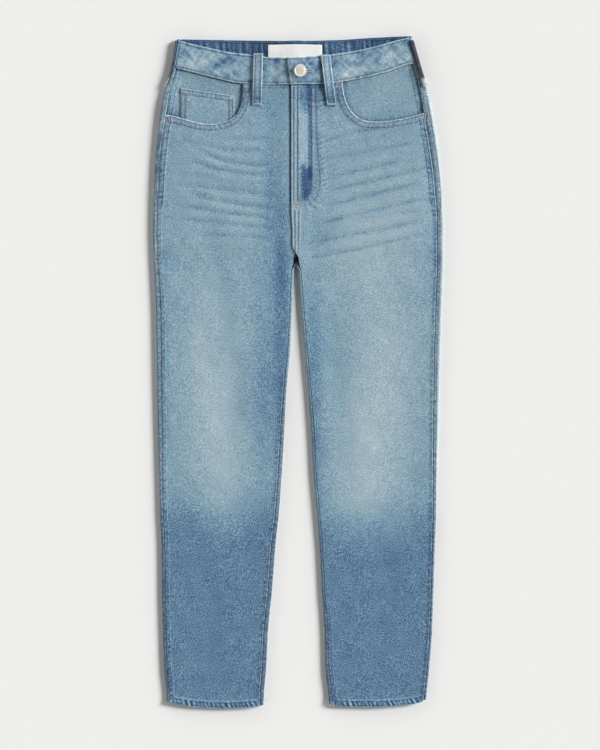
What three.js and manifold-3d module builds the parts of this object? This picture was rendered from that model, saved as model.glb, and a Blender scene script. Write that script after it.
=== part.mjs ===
// High-rise five-pocket jeans with a tapered leg, laid flat with the front side up.
// Units are millimetres. The origin is on the surface under the middle of the garment,
// +Y runs from the hems to the waist, +X to the right as seen from above, +Z up.
// The wearer's right leg is on the -X side. Right and left in the names are the wearer's.
import * as THREE from 'three';
import { mergeVertices } from 'three/addons/utils/BufferGeometryUtils.js';
import Module from 'manifold-3d';

const wasm = await Module();
wasm.setup();

// Rows of a table, each with its values by the names of the columns
const table = (names, rows) => rows.map((row) => Object.fromEntries(names.map((n, i) => [n, row[i]])));

// Driving dimensions of the cloth
const DENIM = 1.5;
const BAND = 2.8;
const FACING = 1.1;
const LOOP = 1.6;
const LABEL = 1.0;
const SEAM_GAP = 0.3;
const SIDE_GAP = 0.55;
const FOLD_RADIUS = 2.0;
const BAND_FOLD_RADIUS = 2.3;
const HEM_HEIGHT = 10.5;
const HEM_EXTRA = 0.8;
const HEM_LEVEL = -504;

// Places of the main lines
const CENTRE_X = -3;
const CROTCH_Y = 165;
const FRONT_SEAM_LEVEL = 430.5;
const YOKE_CENTRE_Y = 380;
const YOKE_RISE = 37;
const HALF_HIP = 207;
const OUTER_REFERENCE = 190;
const FLY_EDGE_X = -10.2;
const FLY_BOTTOM_Y = 247;
const FLY_LEAN = { shift: 2, ramp: 40, end: 190, turn: 22 };
const RIGHT_UNDERLAP_X = 0;
const BAND_UNDER = 4.6;
const BAND_RISE = 1.85;
const BAND_INSET = 6;

// The laid outline, a row for each height. Outer and inner are the edges of each leg,
// seam and inseam say how far in from those edges the side seam and the inseam lie.
const OUTLINE = table([
  'y', 'rightOuter', 'rightSeam', 'rightInner', 'rightInseam',
  'leftInner', 'leftInseam', 'leftOuter', 'leftSeam',
], [
  [-504, -196, 4.2, -52.5, 5, 47, 5, 190, 3.9],
  [-477, -197, 4.2, -51, 6, 45, 5, 193.5, 3.9],
  [-447, -200.5, 4.2, -48, 6.5, 41.5, 4.5, 196.5, 3.9],
  [-387, -202.5, 4.5, -45, 6.5, 40, 3.9, 201, 3.9],
  [-327, -204, 4.5, -39, 6.5, 36, 3.9, 203, 3.9],
  [-267, -204.5, 4.5, -34.5, 6.5, 33, 3.9, 205, 4.2],
  [-207, -207, 4.5, -28.5, 6, 28, 3.9, 207, 5],
  [-147, -208.5, 5, -24, 6, 23, 3.9, 208.5, 6.5],
  [-87, -210, 6, -21, 5.5, 20, 3.9, 210, 7.5],
  [-27, -211.5, 7, -17.5, 4.5, 15.5, 3.9, 211.5, 8.5],
  [33, -212.5, 7.5, -12, 3.9, 10, 3.9, 213, 9],
  [93, -213.5, 7.5, -9, 3.9, 5, 3.9, 215, 9],
  [153, -216, 7, -6, 3.9, 0, 3.9, 217.2, 9],
  [165, -216.5, 6.5, -3.2, 3.9, -2.8, 3.9, 217.5, 9],
  [213, -217.5, 6, -3.2, 3.9, -2.8, 3.9, 217.5, 9],
  [288, -215.5, 6.4, -3.2, 3.9, -2.8, 3.9, 213.5, 9.5],
  [333, -212.5, 7, -3.2, 3.9, -2.8, 3.9, 209, 11],
  [393, -205.5, 9, -3.2, 3.9, -2.8, 3.9, 199.5, 12],
  [423, -199.5, 8, -3.2, 3.9, -2.8, 3.9, 193, 11],
  [453, -189, 6, -3.2, 3.9, -2.8, 3.9, 184, 9],
  [498, -181, 6, -3.2, 3.9, -2.8, 3.9, 171, 8],
]);

// Lower edge of the front waistband, and the upper edges of its front and back
const FRONT_SEAM = [
  { x: -190, y: 456 }, { x: -157, y: 448.5 }, { x: -121, y: 439.5 }, { x: -93, y: 433 },
  { x: -69, y: 431 }, { x: -15, y: 430.5 }, { x: 35, y: 431 },
  { x: 57, y: 433.5 }, { x: 88, y: 438.5 }, { x: 132, y: 449 }, { x: 172, y: 461 }, { x: 190, y: 461 },
];
const FRONT_TOP = [
  { x: -182, y: 498 }, { x: -160, y: 491.5 }, { x: -136, y: 486 }, { x: -100, y: 478.5 },
  { x: -72, y: 475.5 }, { x: -42, y: 471.5 }, { x: -16, y: 471 }, { x: 35, y: 474 },
  { x: 88, y: 481.5 }, { x: 117, y: 488 }, { x: 145, y: 496 }, { x: 170, y: 502 },
];
const BACK_TOP = [
  { x: -182, y: 499 }, { x: -6, y: 496.5 }, { x: 60, y: 498 }, { x: 117, y: 501.5 }, { x: 172, y: 504 },
];
const BACK_SEAM = [
  { x: -190, y: 456 }, { x: -60, y: 455 }, { x: 60, y: 456.5 }, { x: 172, y: 461 }, { x: 190, y: 461 },
];

// How far the hem line rises above its lowest level, across each leg
const HEM_RISE = [
  { x: -196, rise: 9 }, { x: -160, rise: 3 }, { x: -112, rise: 0 }, { x: -67, rise: 2.2 },
  { x: -52, rise: 4.8 }, { x: 46, rise: 7.5 }, { x: 58, rise: 3 }, { x: 108, rise: 2 },
  { x: 159, rise: 4.8 }, { x: 184, rise: 9 }, { x: 192, rise: 14 },
];

// Clear height between the back cloth and the front cloth, by height on the garment
const GAPS = [
  { y: -504, gap: 3.4 }, { y: -495, gap: 3.4 }, { y: -485, gap: 2.3 }, { y: -200, gap: 2.4 },
  { y: 0, gap: 2.5 }, { y: 165, gap: 2.7 }, { y: 250, gap: 3.0 }, { y: 357, gap: 3.2 },
  { y: 430, gap: 3.6 },
];

// Creases set across the lap, each from its outer or left end to the other end
const WHISKERS = table(['side', 'x0', 'y0', 'x1', 'y1', 'sag', 'depth'], [
  ['right', -110, 349, -40, 353, -2, 0.5],
  ['right', -178, 353, -46, 334, -10, 0.6],
  ['right', -166, 344, -36, 313, -15, 0.8],
  ['right', -172, 320, -36, 297, -8, 0.8],
  ['right', -192, 283, -30, 264, 0, 0.5],
  ['right', -170, 271, -24, 246, -6, 0.7],
  ['right', -190, 253, -36, 231, -3, 0.7],
  ['right', -186, 231, -30, 216, -1, 0.5],
  ['right', -156, 207, -34, 200, 0, 0.4],
  ['left', 30, 342, 132, 366, 4, 0.8],
  ['left', 30, 318, 184, 345, -1, 0.5],
  ['left', 36, 287, 154, 315, 2, 0.7],
  ['left', 40, 270, 194, 306, 0, 0.8],
  ['left', 38, 248, 190, 285, 0, 0.8],
  ['left', 12, 218, 194, 261, 0, 0.9],
  ['left', 56, 222, 192, 243, 2, 0.4],
  ['left', 10, 192, 200, 228, 0, 0.7],
  ['left', 10, 170, 194, 210, -3, 0.8],
]);
const WHISKER_WIDTH = 4.5;
const CREASE_TOP = 372;
const CREASE_FADE = 30;

// Long soft troughs that run down the legs, from the upper end to the lower one
const LONG_FOLDS = table(['side', 'x0', 'y0', 'x1', 'y1', 'bow', 'width', 'depth'], [
  ['right', -43, 400, -22, 100, -4, 10, 0.7],
  ['right', -177, 350, -88, -150, 24, 15, 0.7],
  ['right', -150, -220, -120, -470, 6, 16, 0.4],
  ['left', 34, 140, 80, -200, 5, 16, 0.6],
  ['left', 150, -180, 118, -470, 0, 18, 0.4],
]);

// Back pockets, and the belt loop at the centre of the back, which lie under the cloth
const BACK_POCKET = { inner: 36, outer: 164, drop: 18, side: 132, point: 150, wall: 1.2, taper: 8 };
const POCKET_LIFT = { inner: 34, outer: 176, drop: 17, low: 205, ramp: 14, frontRamp: 40 };
const BACK_LOOP = { width: 14, top: 497.5, bottom: 441, wall: 1.5, ramp: 10 };

// Mouth of each front pocket, from the waist seam to the side seam
const POCKET_MOUTH = {
  right: [[-81, 440], [-82, 431], [-83, 412], [-87, 395], [-97, 381], [-113, 374], [-131, 371.5],
    [-150, 373.5], [-172, 379.5], [-189, 384], [-204, 386]],
  left: [[66, 443], [67, 431], [70, 412], [77, 395], [89, 382], [103, 376], [125, 375],
    [146, 377.5], [168, 382], [191, 389], [204, 393]],
};
const MOUTH_POINTS = 30;
const CUTTER = { bottom: -5, height: 40 };
const MOUTH_CORNER = { right: [-230, 480], left: [230, 480] };
const FACING_INNER = { right: -68, left: 52 };
const FACING_DEPTH = 76;
const FACING_DROP = 1.6;

// Coin pocket on the right facing
const COIN = {
  left: -176, right: -95.5, topLeft: 425.5, topRight: 414, bottomLeft: 378, bottomRight: 377, wall: 1.0,
};

// Belt loops over the front waistband: centre line at the top and at the bottom
const FRONT_LOOPS = {
  right: { topX: -59.6, topY: 477, bottomX: -61.6, bottomY: 399 },
  left: { topX: 41, topY: 475, bottomX: 50.4, bottomY: 399 },
};
const LOOP_WIDTH = 14;
const LOOP_ARCH = 1.2;
const LOOP_STEP = { before: 12, ramp: 9, probe: 3 };
const SIDE_LOOP = { top: 497, bottom: 427, start: 0.34, over: 4.5, clearance: 0.6 };

// Waistband overlap, button and fly
const TAB_END = { top: -16.5, bottom: -10.8 };
const UNDERBAND_END_X = 27;
const BUTTON = { x: 3.5, y: 451, radius: 9.2, height: 3.2, shank: 2.2 };
const BUTTONHOLE = { eyelet: 3.2, length: 22, width: 1.2, deep: 30 };
const FLY_RAISE = 1.0;
const FLY_MOUND = { left: -34, right: 46, below: 20, ramp: 18 };
const OVERLAP = { edge: 26, ramp: 22, low: 138, height: 34 };
const BAND_MOUND = { half: 34, ramp: 14 };
const BAND_RIDE = { edge: 52, ramp: 22 };
const SHIELD = { left: -13.5, right: 16, top: 426, bottom: 250, wall: 1.2, under: 1.9 };
const ZIP = { left: -7.5, right: 14, top: 424, bottom: 256, wall: 1.2, under: 3.4 };
const LABEL_PLACE = { left: -45, right: 36, top: 490, bottom: 467, clearance: 0.55 };

// Colours of the finish
const INK = {
  front: 0x7f9fb5, back: 0x7395ad, band: 0x6d8ea8, loop: 0x6f90aa, inside: 0x3f5c82,
  label: 0xf2f2ee, button: 0xd9d4c0, zip: 0x8a8472,
};

const mix = (a, b, t) => a + (b - a) * t;
const clamp01 = (t) => Math.min(1, Math.max(0, t));
const smooth = (t) => {
  const c = clamp01(t);
  return c * c * (3 - 2 * c);
};

// Smooth curve, with no overshoot, through a column of a table whose rows rise in the named key
function along(table, key, at, column) {
  const last = table.length - 1;
  if (at <= table[0][key]) return table[0][column];
  if (at >= table[last][key]) return table[last][column];
  let i = 0;
  while (table[i + 1][key] < at) i += 1;
  const secant = (j) => (table[j + 1][column] - table[j][column]) / (table[j + 1][key] - table[j][key]);
  const slope = (j) => {
    const before = secant(Math.max(0, j - 1));
    const after = secant(Math.min(last - 1, j));
    return before * after <= 0 ? 0 : 2 * before * after / (before + after);
  };
  const span = table[i + 1][key] - table[i][key];
  const t = (at - table[i][key]) / span;
  const start = table[i][column];
  const end = table[i + 1][column];
  const h00 = (1 + 2 * t) * (1 - t) ** 2;
  const h10 = t * (1 - t) ** 2;
  const h01 = t * t * (3 - 2 * t);
  const h11 = t * t * (t - 1);
  return h00 * start + h10 * span * slope(i) + h01 * end + h11 * span * slope(i + 1);
}

const SIDES = { right: { name: 'right', sign: -1 }, left: { name: 'left', sign: 1 } };
const outlineOf = (side, part, y) => along(OUTLINE, 'y', y, side.name + part);
const yokeSeamY = (x) => YOKE_CENTRE_Y + YOKE_RISE * Math.abs(x - CENTRE_X) / HALF_HIP;

// Lift of the back cloth where a pocket or the belt loop lies under it
function lift(x, y, ramp = POCKET_LIFT.ramp) {
  const away = Math.abs(x - CENTRE_X);
  const rise = (edge) => smooth(1 + edge / ramp);
  const across = rise(away - POCKET_LIFT.inner) * rise(POCKET_LIFT.outer - away);
  const down = rise(yokeSeamY(x) - y - POCKET_LIFT.drop) * rise(y - POCKET_LIFT.low);
  const pocket = (BACK_POCKET.wall + SEAM_GAP) * across * down;
  const half = BACK_LOOP.width / 2 + 1;
  const loopAcross = smooth(1 + (half - away) / BACK_LOOP.ramp);
  const loopDown = smooth(1 + (y - BACK_LOOP.bottom + 1) / BACK_LOOP.ramp);
  return Math.max(pocket, (BACK_LOOP.wall + SEAM_GAP) * loopAcross * loopDown);
}

// Depth of the lap creases and the long folds at a point of the front
function folds(side, x, y) {
  let depth = 0;
  for (const w of WHISKERS) {
    const t = (x - w.x0) / (w.x1 - w.x0);
    if (w.side === side.name && t > 0 && t < 1) {
      const line = mix(w.y0, w.y1, t) + w.sag * 4 * t * (1 - t);
      const ends = smooth(4 * t) * smooth(4 * (1 - t));
      depth += w.depth * ends * Math.exp(-(((y - line) / WHISKER_WIDTH) ** 2));
    }
  }
  for (const f of LONG_FOLDS) {
    const t = (f.y0 - y) / (f.y0 - f.y1);
    if (f.side === side.name && t > 0 && t < 1) {
      const line = mix(f.x0, f.x1, t) + f.bow * 4 * t * (1 - t);
      const ends = smooth(4 * t) * smooth(4 * (1 - t));
      depth += f.depth * ends * Math.exp(-(((x - line) / f.width) ** 2));
    }
  }
  return depth;
}

// Rise of the cloth over the fly shield and the zip
function flyRise(x, y) {
  const { left, right, below, ramp } = FLY_MOUND;
  const across = smooth((x - left) / ramp) * smooth((right - x) / ramp);
  return FLY_RAISE * across * smooth((y - FLY_BOTTOM_Y + below) / ramp);
}

// The left front lies on the right front from the waist to the crotch
function overlapRise(side, x, y) {
  if (side.name === 'right') return 0;
  const { edge, ramp, low, height } = OVERLAP;
  return (DENIM + SEAM_GAP) * smooth((edge - x) / ramp) * smooth((y - low) / height);
}

// Underside of the front cloth before it is creased, and with its creases
function frontRest(side, x, y) {
  const height = DENIM + along(GAPS, 'y', y, 'gap') + lift(x, y, POCKET_LIFT.frontRamp);
  return height + flyRise(x, y) + overlapRise(side, x, y);
}
function frontUnder(side, x, y) {
  return frontRest(side, x, y) - folds(side, x, y) * (1 - smooth((y - CREASE_TOP) / CREASE_FADE));
}

// Height on the garment of a front row that starts a depth below the waist seam
const ROW_BLEND = { front: 80, back: 90, hemStart: 60, hemRamp: 50 };
function hemRise(x, up) {
  return along(HEM_RISE, 'x', x, 'rise') * smooth((ROW_BLEND.hemStart - up) / ROW_BLEND.hemRamp);
}
const FRONT_LENGTH = FRONT_SEAM_LEVEL - HEM_LEVEL;
function frontRowY(x, depth) {
  const blend = smooth(depth / ROW_BLEND.front);
  const top = (along(FRONT_SEAM, 'x', x, 'y') - FRONT_SEAM_LEVEL) * (1 - blend);
  const level = FRONT_SEAM_LEVEL - SEAM_GAP / 2 - depth;
  return level + top + hemRise(x, FRONT_LENGTH - depth) + (SEAM_GAP / 2) * blend;
}

// The same for the back, below the yoke seam
const BACK_LENGTH = YOKE_CENTRE_Y - HEM_LEVEL;
function backRowY(x, depth) {
  const blend = smooth(depth / ROW_BLEND.back);
  const top = (yokeSeamY(x) - YOKE_CENTRE_Y) * (1 - blend);
  const level = YOKE_CENTRE_Y - SEAM_GAP / 2 - depth;
  return level + top + hemRise(x, BACK_LENGTH - depth) + (SEAM_GAP / 2) * blend;
}

// Inner end of the front cloth: the fly line above the crotch, the inseam below it
function frontInnerX(side, y) {
  const inseam = outlineOf(side, 'Inner', y)
    + side.sign * (outlineOf(side, 'Inseam', y) + SEAM_GAP / 2);
  const lean = FLY_LEAN.shift * smooth((FLY_BOTTOM_Y - y) / FLY_LEAN.ramp);
  const fly = side.name === 'right' ? RIGHT_UNDERLAP_X : FLY_EDGE_X + lean;
  return mix(fly, inseam, smooth((FLY_LEAN.end - y) / FLY_LEAN.turn));
}

const hemExtra = (depth, length) => (depth > length - HEM_HEIGHT - 0.5 ? HEM_EXTRA : 0);

// Closed wall between two grids of points, with a rim round its edge
function shell(rows, columns, upper, lower) {
  const position = [];
  for (const face of [upper, lower]) {
    for (let i = 0; i < rows; i += 1) {
      for (let j = 0; j < columns; j += 1) position.push(...face(i, j));
    }
  }
  const top = (i, j) => i * columns + j;
  const low = (i, j) => rows * columns + i * columns + j;
  const index = [];
  const quad = (a, b, c, d) => index.push(a, b, c, a, c, d);
  for (let i = 0; i < rows - 1; i += 1) {
    for (let j = 0; j < columns - 1; j += 1) {
      quad(top(i, j), top(i, j + 1), top(i + 1, j + 1), top(i + 1, j));
      quad(low(i, j), low(i + 1, j), low(i + 1, j + 1), low(i, j + 1));
    }
  }
  for (let j = 0; j < columns - 1; j += 1) {
    quad(top(0, j), low(0, j), low(0, j + 1), top(0, j + 1));
    quad(top(rows - 1, j + 1), low(rows - 1, j + 1), low(rows - 1, j), top(rows - 1, j));
  }
  for (let i = 0; i < rows - 1; i += 1) {
    quad(top(i + 1, 0), low(i + 1, 0), low(i, 0), top(i, 0));
    quad(top(i, columns - 1), low(i, columns - 1), low(i + 1, columns - 1), top(i + 1, columns - 1));
  }
  return outward(position, index);
}

// Turns the faces outward, whichever way the grid ran
function outward(position, index) {
  const at = (k) => new THREE.Vector3().fromArray(position, 3 * index[k]);
  let volume = 0;
  for (let k = 0; k < index.length; k += 3) {
    volume += at(k).dot(at(k + 1).cross(at(k + 2)));
  }
  if (volume < 0) index.reverse();
  const geometry = new THREE.BufferGeometry();
  geometry.setAttribute('position', new THREE.Float32BufferAttribute(position, 3));
  geometry.setIndex(index);
  return geometry;
}

// Solid with shared vertices, for cutting
function solid(geometry) {
  const bare = new THREE.BufferGeometry();
  bare.setAttribute('position', geometry.getAttribute('position').clone());
  if (geometry.index) bare.setIndex(geometry.index.clone());
  const merged = mergeVertices(bare, 1e-4);
  return new wasm.Manifold(new wasm.Mesh({
    numProp: 3,
    vertProperties: new Float32Array(merged.getAttribute('position').array),
    triVerts: new Uint32Array(merged.index.array),
  }));
}

function fromSolid(body) {
  const mesh = body.getMesh();
  const geometry = new THREE.BufferGeometry();
  geometry.setAttribute('position', new THREE.BufferAttribute(new Float32Array(mesh.vertProperties), 3));
  geometry.setIndex(new THREE.BufferAttribute(new Uint32Array(mesh.triVerts), 1));
  return geometry;
}

// Upright prism over a flat shape
function prism(shape, bottom, height) {
  const geometry = new THREE.ExtrudeGeometry(shape, { depth: height, bevelEnabled: false, curveSegments: 1 });
  geometry.translate(0, 0, bottom);
  return geometry;
}

// Evenly spaced values from start to end
function steps(start, end, count) {
  return Array.from({ length: count }, (_, i) => mix(start, end, i / (count - 1)));
}

// Prism over the whole pocket opening, out past the side seam and the waist seam
function mouthCutter(side) {
  const line = new THREE.SplineCurve(POCKET_MOUTH[side.name].map(([x, y]) => new THREE.Vector2(x, y)));
  const points = line.getPoints(MOUTH_POINTS);
  const corner = new THREE.Vector2(...MOUTH_CORNER[side.name]);
  const first = points[0];
  const last = points[points.length - 1];
  const outside = [
    new THREE.Vector2(corner.x, last.y),
    corner,
    new THREE.Vector2(first.x, corner.y),
  ];
  const shape = new THREE.Shape([...points, ...outside]);
  return solid(prism(shape, CUTTER.bottom, CUTTER.height));
}

// Front leg from the waist seam to the hem, less its pocket opening
const HEM_TOP = HEM_LEVEL + HEM_HEIGHT;
const LEG_LEVELS = [
  172, 165, 159, 153, 147, ...steps(140, -430, 15), -450, -470,
  HEM_TOP + 6, HEM_TOP + 1, HEM_TOP, HEM_LEVEL,
];
const FRONT_ROWS = [
  ...steps(0, 60, 8), ...steps(67, 251, 27),
  ...LEG_LEVELS.map((y) => FRONT_SEAM_LEVEL - y),
];
const FRONT_COLUMNS = 11;

function frontPoint(side, depth, across) {
  const outerY = frontRowY(side.sign * OUTER_REFERENCE, depth);
  const innerY = frontRowY(0, depth);
  const inset = outlineOf(side, 'Seam', outerY) + SIDE_GAP / 2;
  const outerX = outlineOf(side, 'Outer', outerY) - side.sign * inset;
  const x = mix(frontInnerX(side, innerY), outerX, across);
  return [x, frontRowY(x, depth)];
}

function frontPanel(side) {
  const spot = (i, j) => frontPoint(side, FRONT_ROWS[i], j / (FRONT_COLUMNS - 1));
  const upper = (i, j) => {
    const [x, y] = spot(i, j);
    return [x, y, frontUnder(side, x, y) + DENIM];
  };
  const lower = (i, j) => {
    const [x, y] = spot(i, j);
    return [x, y, frontUnder(side, x, y) - hemExtra(FRONT_ROWS[i], FRONT_LENGTH)];
  };
  const leg = solid(shell(FRONT_ROWS.length, FRONT_COLUMNS, upper, lower));
  return fromSolid(leg.subtract(mouthCutter(side)));
}

// Path of cloth that turns up from the surface by a share of a half turn, then runs on straight.
// It gives the distance gone sideways, the height, and the slope angle.
function curl(length, share, radius) {
  const arc = Math.PI * radius;
  const bent = Math.min(length, arc);
  const rest = length - bent;
  const angle = share * bent / radius;
  const side = share < 1e-3 ? bent : radius / share * Math.sin(angle);
  const height = share < 1e-3 ? 0 : radius / share * (1 - Math.cos(angle));
  return {
    side: side + rest * Math.cos(angle),
    height: height + rest * Math.sin(angle),
    angle,
  };
}

// A point of the turned edge, on the outer or the inner face of the wall
function curlPoint(base, length, share, radius, top, wall, extra, outerFace) {
  const p = curl(length, share, radius);
  const tallest = Math.max(2 * radius, curl(Math.PI * radius, share, radius).height);
  const scale = top / tallest;
  const rise = scale * Math.sin(p.angle);
  const run = Math.cos(p.angle);
  const size = Math.hypot(rise, run);
  const offset = outerFace ? wall / 2 : -wall / 2 - extra;
  return {
    out: p.side + offset * rise / size,
    z: base + wall / 2 + scale * p.height - offset * run / size,
  };
}

const ARC_STEPS = [0, 1 / 3, 2 / 3, 1];
const BOTTOM_SHARES = [0.06, 0.115, 0.35, 0.6, 0.83, 0.93];

// How far the back cloth turns up round the inner edge of the leg
const innerTurn = (y) => smooth((CROTCH_Y + 3 - y) / 18);

// A point of the back cloth. Columns run from the side seam, round the outer fold, under the
// leg and round the inner fold to the inseam.
function backPoint(side, rowY, depth, column, extra, outerFace) {
  const arc = Math.PI * FOLD_RADIUS;
  const outerY = rowY(side.sign * OUTER_REFERENCE, depth);
  const inset = outlineOf(side, 'Seam', outerY);
  const edge = outlineOf(side, 'Outer', outerY);
  const outerBase = edge - side.sign * (FOLD_RADIUS + DENIM / 2);
  const outerTop = frontUnder(side, edge - side.sign * inset, outerY);
  const innerY = rowY(CENTRE_X, depth);
  const turn = innerTurn(innerY);
  const inner = outlineOf(side, 'Inner', innerY);
  const inseam = outlineOf(side, 'Inseam', innerY);
  const innerStrip = inseam - FOLD_RADIUS - DENIM / 2 - SEAM_GAP / 2;
  const reach = Math.max(...ARC_STEPS.map((s) => curl(s * arc, turn, FOLD_RADIUS).side),
    curl(arc + innerStrip, turn, FOLD_RADIUS).side);
  const innerBase = inner + side.sign * (reach + DENIM / 2 * smooth(6 * turn));
  const innerTop = frontUnder(side, inner + side.sign * inseam, innerY);

  if (column <= ARC_STEPS.length) {
    const strip = inset - FOLD_RADIUS - DENIM / 2 - SIDE_GAP / 2;
    const length = column === 0 ? arc + strip : arc * ARC_STEPS[ARC_STEPS.length - column];
    const p = curlPoint(0, length, 1, FOLD_RADIUS, outerTop, DENIM, extra, outerFace);
    return [outerBase + side.sign * p.out, outerY, p.z];
  }
  const k = column - ARC_STEPS.length - 1;
  if (k < BOTTOM_SHARES.length) {
    const x = mix(outerBase, innerBase, 1 - BOTTOM_SHARES[BOTTOM_SHARES.length - 1 - k]);
    const y = rowY(x, depth);
    return [x, y, lift(x, y) + (outerFace ? 0 : DENIM + extra)];
  }
  const m = k - BOTTOM_SHARES.length;
  const length = m === ARC_STEPS.length ? arc + innerStrip : arc * ARC_STEPS[m];
  const p = curlPoint(0, length, turn, FOLD_RADIUS, innerTop, DENIM, extra, outerFace);
  const x = innerBase - side.sign * p.out;
  const y = rowY(innerBase, depth);
  return [x, y, p.z + lift(x, y)];
}
const BACK_COLUMNS = 2 * (ARC_STEPS.length + 1) + BOTTOM_SHARES.length;

// Back leg from the yoke seam to the hem
const BACK_ROWS = [
  0, 3, 17, 45, 75, 105, 135, 160, 175, 189, 200,
  ...LEG_LEVELS.map((y) => YOKE_CENTRE_Y - y),
];

function backPanel(side) {
  const face = (outerFace) => (i, j) => {
    const extra = hemExtra(BACK_ROWS[i], BACK_LENGTH);
    return backPoint(side, backRowY, BACK_ROWS[i], j, extra, outerFace);
  };
  return shell(BACK_ROWS.length, BACK_COLUMNS, face(true), face(false));
}

// Yoke between the back of the waistband and the back leg
const YOKE_ROWS = [0, 0.2, 0.4, 0.7, 1];
function yoke(side) {
  const rowY = (x, share) => {
    const top = along(BACK_SEAM, 'x', x, 'y') - SEAM_GAP / 2;
    return mix(top, yokeSeamY(x) + SEAM_GAP / 2, share);
  };
  const face = (outerFace) => (i, j) => backPoint(side, rowY, YOKE_ROWS[i], j, 0, outerFace);
  return shell(YOKE_ROWS.length, BACK_COLUMNS, face(true), face(false));
}

// Underside of the front waistband, over the label and the raised centre of the back.
// The left end rides on the right one as a tab.
function bandUnder(side, x) {
  const rise = BAND_RISE * smooth((BAND_MOUND.half - Math.abs(x - CENTRE_X)) / BAND_MOUND.ramp);
  const tab = (BAND + SEAM_GAP) * smooth((BAND_RIDE.edge - x) / BAND_RIDE.ramp);
  return BAND_UNDER + rise + (side.name === 'left' ? tab : 0);
}

const BAND_ROWS = [0, 0.25, 0.5, 0.75, 1];
function bandLineY(x, share, top) {
  return mix(along(top === FRONT_TOP ? FRONT_SEAM : BACK_SEAM, 'x', x, 'y') + SEAM_GAP / 2,
    along(top, 'x', x, 'y'), share);
}

function frontBand(side) {
  const columns = 17;
  const spot = (i, j) => {
    const share = BAND_ROWS[i];
    const edgeY = bandLineY(side.sign * OUTER_REFERENCE, share, FRONT_TOP);
    const outerX = outlineOf(side, 'Outer', edgeY) - side.sign * (BAND_INSET + SEAM_GAP / 2);
    const innerX = side.name === 'left' ? mix(TAB_END.bottom, TAB_END.top, share) : UNDERBAND_END_X;
    const x = mix(innerX, outerX, j / (columns - 1));
    return [x, bandLineY(x, share, FRONT_TOP)];
  };
  const upper = (i, j) => {
    const [x, y] = spot(i, j);
    return [x, y, bandUnder(side, x) + BAND];
  };
  const lower = (i, j) => {
    const [x, y] = spot(i, j);
    return [x, y, bandUnder(side, x)];
  };
  const band = shell(BAND_ROWS.length, columns, upper, lower);
  return side.name === 'left' ? fromSolid(solid(band).subtract(buttonholeCutter())) : band;
}

// Keyhole: a round eyelet for the shank and a straight slit
function buttonholeCutter() {
  const { eyelet: radius, length, width, deep } = BUTTONHOLE;
  const eyelet = new THREE.CylinderGeometry(radius, radius, deep, 16);
  eyelet.rotateX(Math.PI / 2);
  eyelet.translate(BUTTON.x, BUTTON.y, deep / 3);
  const slit = new THREE.BoxGeometry(length - 4, width, deep);
  slit.translate(BUTTON.x + length / 2, BUTTON.y, deep / 3);
  return solid(eyelet).add(solid(slit));
}

// Back of the waistband, round both side folds to the front
function backBand() {
  const arc = Math.PI * BAND_FOLD_RADIUS;
  const strip = BAND_INSET - BAND_FOLD_RADIUS - BAND / 2 - SEAM_GAP / 2;
  const middle = [0.12, 0.25, 0.38, 0.45, 0.478, 0.522, 0.55, 0.62, 0.75, 0.88];
  const turned = ARC_STEPS.length + 1;
  const columns = 2 * turned + middle.length;
  const edgeOf = (side, share) => {
    const edgeY = bandLineY(side.sign * OUTER_REFERENCE, share, BACK_TOP);
    const edge = outlineOf(side, 'Outer', edgeY);
    return { y: edgeY, base: edge - side.sign * (BAND_FOLD_RADIUS + BAND / 2) };
  };
  const foldPoint = (side, share, length, outerFace) => {
    const edge = edgeOf(side, share);
    const p = curlPoint(0, length, 1, BAND_FOLD_RADIUS, BAND_UNDER, BAND, 0, outerFace);
    return [edge.base + side.sign * p.out, edge.y, p.z];
  };
  const lengthAt = (n) => (n === 0 ? arc + strip : arc * ARC_STEPS[ARC_STEPS.length - n]);
  const face = (outerFace) => (i, j) => {
    const share = BAND_ROWS[i];
    if (j < turned) return foldPoint(SIDES.right, share, lengthAt(j), outerFace);
    if (j >= columns - turned) return foldPoint(SIDES.left, share, lengthAt(columns - 1 - j), outerFace);
    const x = mix(edgeOf(SIDES.right, share).base, edgeOf(SIDES.left, share).base, middle[j - turned]);
    const y = bandLineY(x, share, BACK_TOP);
    return [x, y, lift(x, y) + (outerFace ? 0 : BAND)];
  };
  return shell(BAND_ROWS.length, columns, face(true), face(false));
}

// Cloth seen inside the pocket opening, under the front
function pocketFacing(side) {
  const rows = 8;
  const columns = 8;
  const spot = (i, j) => {
    const depth = mix(1, FACING_DEPTH, i / (rows - 1));
    const outer = frontPoint(side, depth, 1);
    const x = mix(FACING_INNER[side.name], outer[0], j / (columns - 1));
    return [x, frontRowY(x, depth)];
  };
  const top = (i, j) => {
    const [x, y] = spot(i, j);
    return [x, y, frontRest(side, x, y) - FACING_DROP];
  };
  const low = (i, j) => {
    const [x, y, z] = top(i, j);
    return [x, y, z - FACING];
  };
  return shell(rows, columns, top, low);
}

// Small patch pocket on the right facing
function coinPocket() {
  const side = SIDES.right;
  const rows = 5;
  const columns = 6;
  const spot = (i, j) => {
    const u = j / (columns - 1);
    const v = i / (rows - 1);
    const x = mix(COIN.left, COIN.right, u);
    return [x, mix(mix(COIN.topLeft, COIN.topRight, u), mix(COIN.bottomLeft, COIN.bottomRight, u), v)];
  };
  const face = (raise) => (i, j) => {
    const [x, y] = spot(i, j);
    return [x, y, frontRest(side, x, y) - SEAM_GAP - COIN.wall + raise];
  };
  return shell(rows, columns, face(COIN.wall), face(0));
}

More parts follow.
